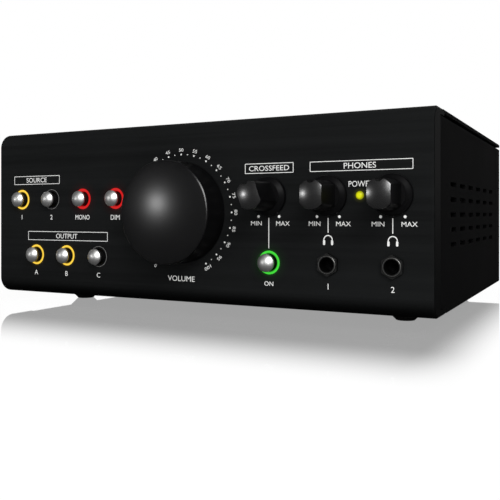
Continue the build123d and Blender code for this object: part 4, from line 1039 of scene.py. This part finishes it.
class CONTROLLER_OT_stage(Operator):
    """Set up the pale floor, the soft lights and the camera"""
    bl_idname = "controller.stage"
    bl_label = "Stage"

    def execute(self, context):
        context.scene.view_settings.view_transform = "Standard"
        self.floor(context)
        self.world(context)
        for name, numbers in LAMPS.items():
            self.light(context, name, *numbers)
        self.camera(context)
        return {"FINISHED"}

    def floor(self, context):
        """White to the camera, dark in reflections, and polished where the case stands."""
        high = CASE_BOX[1]
        margin, fade_start, fade_end = 26 * MM, 22 * MM, 84 * MM
        surface = Finish("pale_floor", roughness=0.9, specular_ior_level=0.0)
        seen = surface.node("ShaderNodeLightPath", output="Is Camera Ray")
        mirrored = surface.node("ShaderNodeLightPath", output="Is Glossy Ray") * 0.94
        surface.set("Base Color", surface.blend(mirrored, (0.85, 0.85, 0.85), BLACK))
        x, y, _ = surface.axes()
        beside = (abs(x) - high[0]).fall(0.0, margin)
        before = (FRONT - y).fall(fade_start, fade_end)
        behind = (y - high[1]).fall(0.0, margin)
        polish = seen * beside * before * behind * context.scene.controller_colours.mirror
        white = surface.node("ShaderNodeEmission", None, {"Color": WHITE, "Strength": 1.0})
        matt = Field(surface, surface.skin.outputs[0])
        pale = surface.node("ShaderNodeMixShader", None, {0: seen * 0.95, 1: matt, 2: white})
        shine = surface.node("ShaderNodeBsdfGlossy", None, {"Color": WHITE, "Roughness": 0.03})
        top = surface.node("ShaderNodeMixShader", None, {0: polish, 1: pale, 2: shine})
        surface.plug(surface.tree.nodes["Material Output"].inputs["Surface"], top)
        sheet = bmesh.new()
        bmesh.ops.create_grid(sheet, x_segments=8, y_segments=8, size=6.0)
        mesh = bpy.data.meshes.new("floor")
        sheet.to_mesh(mesh)
        sheet.free()
        mesh.materials.append(surface.material)
        floor = bpy.data.objects.new("floor", mesh)
        context.scene.collection.objects.link(floor)

    def world(self, context):
        """White to the camera and through clear parts; in reflections white behind, dim in front."""
        world = bpy.data.worlds.new("studio")
        context.scene.world = world
        world.use_nodes = True
        room = Shader(world.node_tree)
        way = room.node("ShaderNodeTexCoord", output="Generated")
        depth = room.node("ShaderNodeSeparateXYZ", None, {0: way}, "Y")
        behind = room.node("ShaderNodeMapRange", None,
                           {"Value": depth, "From Min": 0.35, "From Max": 0.67, "To Min": 0.08})
        camera, clear, glossy, diffuse = (room.node("ShaderNodeLightPath", output=f"Is {kind} Ray")
                                          for kind in ("Camera", "Transmission", "Glossy", "Diffuse"))
        sky = world.node_tree.nodes["Background"]
        room.plug(sky.inputs["Color"], WHITE)
        room.plug(sky.inputs["Strength"], camera + clear + glossy * behind + diffuse * 0.70)

    def light(self, context, name, around, up, away, size, power):
        """A round soft light, aimed at the front."""
        around, up = math.radians(around), math.radians(up)
        lamp = bpy.data.lights.new(name, "AREA")
        lamp.shape = "DISK"
        lamp.size = size
        lamp.energy = power
        body = bpy.data.objects.new(name, lamp)
        body.visible_camera = False
        aim = Vector((0.0, FRONT, 0.05))
        level = math.cos(up)
        out = Vector((math.sin(around) * level, -math.cos(around) * level, math.sin(up)))
        body.location = aim + out * away
        body.rotation_euler = out.to_track_quat("Z", "Y").to_euler()
        context.scene.collection.objects.link(body)

    def camera(self, context):
        """Level, from the front's right, and shifted so that upright edges stay upright."""
        lens = bpy.data.cameras.new("camera")
        lens.lens = 49.1
        lens.sensor_width = 36.0
        lens.shift_x = -0.0282
        lens.shift_y = -0.0713
        eye = bpy.data.objects.new("camera", lens)
        eye.location = (0.17905, -0.3534, 0.04881)
        eye.rotation_euler = (math.radians(90.0), 0.0, math.radians(26.7))
        context.scene.collection.objects.link(eye)
        context.scene.camera = eye


# -------- the add-on

STEPS = (CONTROLLER_OT_stage, CONTROLLER_OT_casing, CONTROLLER_OT_boards, CONTROLLER_OT_controls,
         CONTROLLER_OT_light_rings, CONTROLLER_OT_connectors, CONTROLLER_OT_button_legends,
         CONTROLLER_OT_level_legends, CONTROLLER_OT_volume_scale, CONTROLLER_OT_rear_legends)


class CONTROLLER_PT_panel(Panel):
    """Lists the controller's settings and the steps that dress it"""
    bl_idname = "CONTROLLER_PT_panel"
    bl_label = "Monitor controller"
    bl_space_type = "VIEW_3D"
    bl_region_type = "UI"
    bl_category = "Controller"

    def draw(self, context):
        for settings in (context.scene.controller_sizes, context.scene.controller_colours):
            box = self.layout.box()
            for name in settings.__annotations__:
                box.prop(settings, name)
        for step in STEPS:
            self.layout.operator(step.bl_idname)


CLASSES = (ControllerSizes, ControllerColours, *STEPS, CONTROLLER_PT_panel)


def register():
    for cls in CLASSES:
        bpy.utils.register_class(cls)
    bpy.types.Scene.controller_sizes = PointerProperty(type=ControllerSizes)
    bpy.types.Scene.controller_colours = PointerProperty(type=ControllerColours)


def unregister():
    del bpy.types.Scene.controller_colours
    del bpy.types.Scene.controller_sizes
    for cls in reversed(CLASSES):
        bpy.utils.unregister_class(cls)


def main():
    """Registers the add-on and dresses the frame."""
    register()
    for step in STEPS:
        group, name = step.bl_idname.split(".")
        getattr(getattr(bpy.ops, group), name)()


if __name__ == "__main__":
    main()
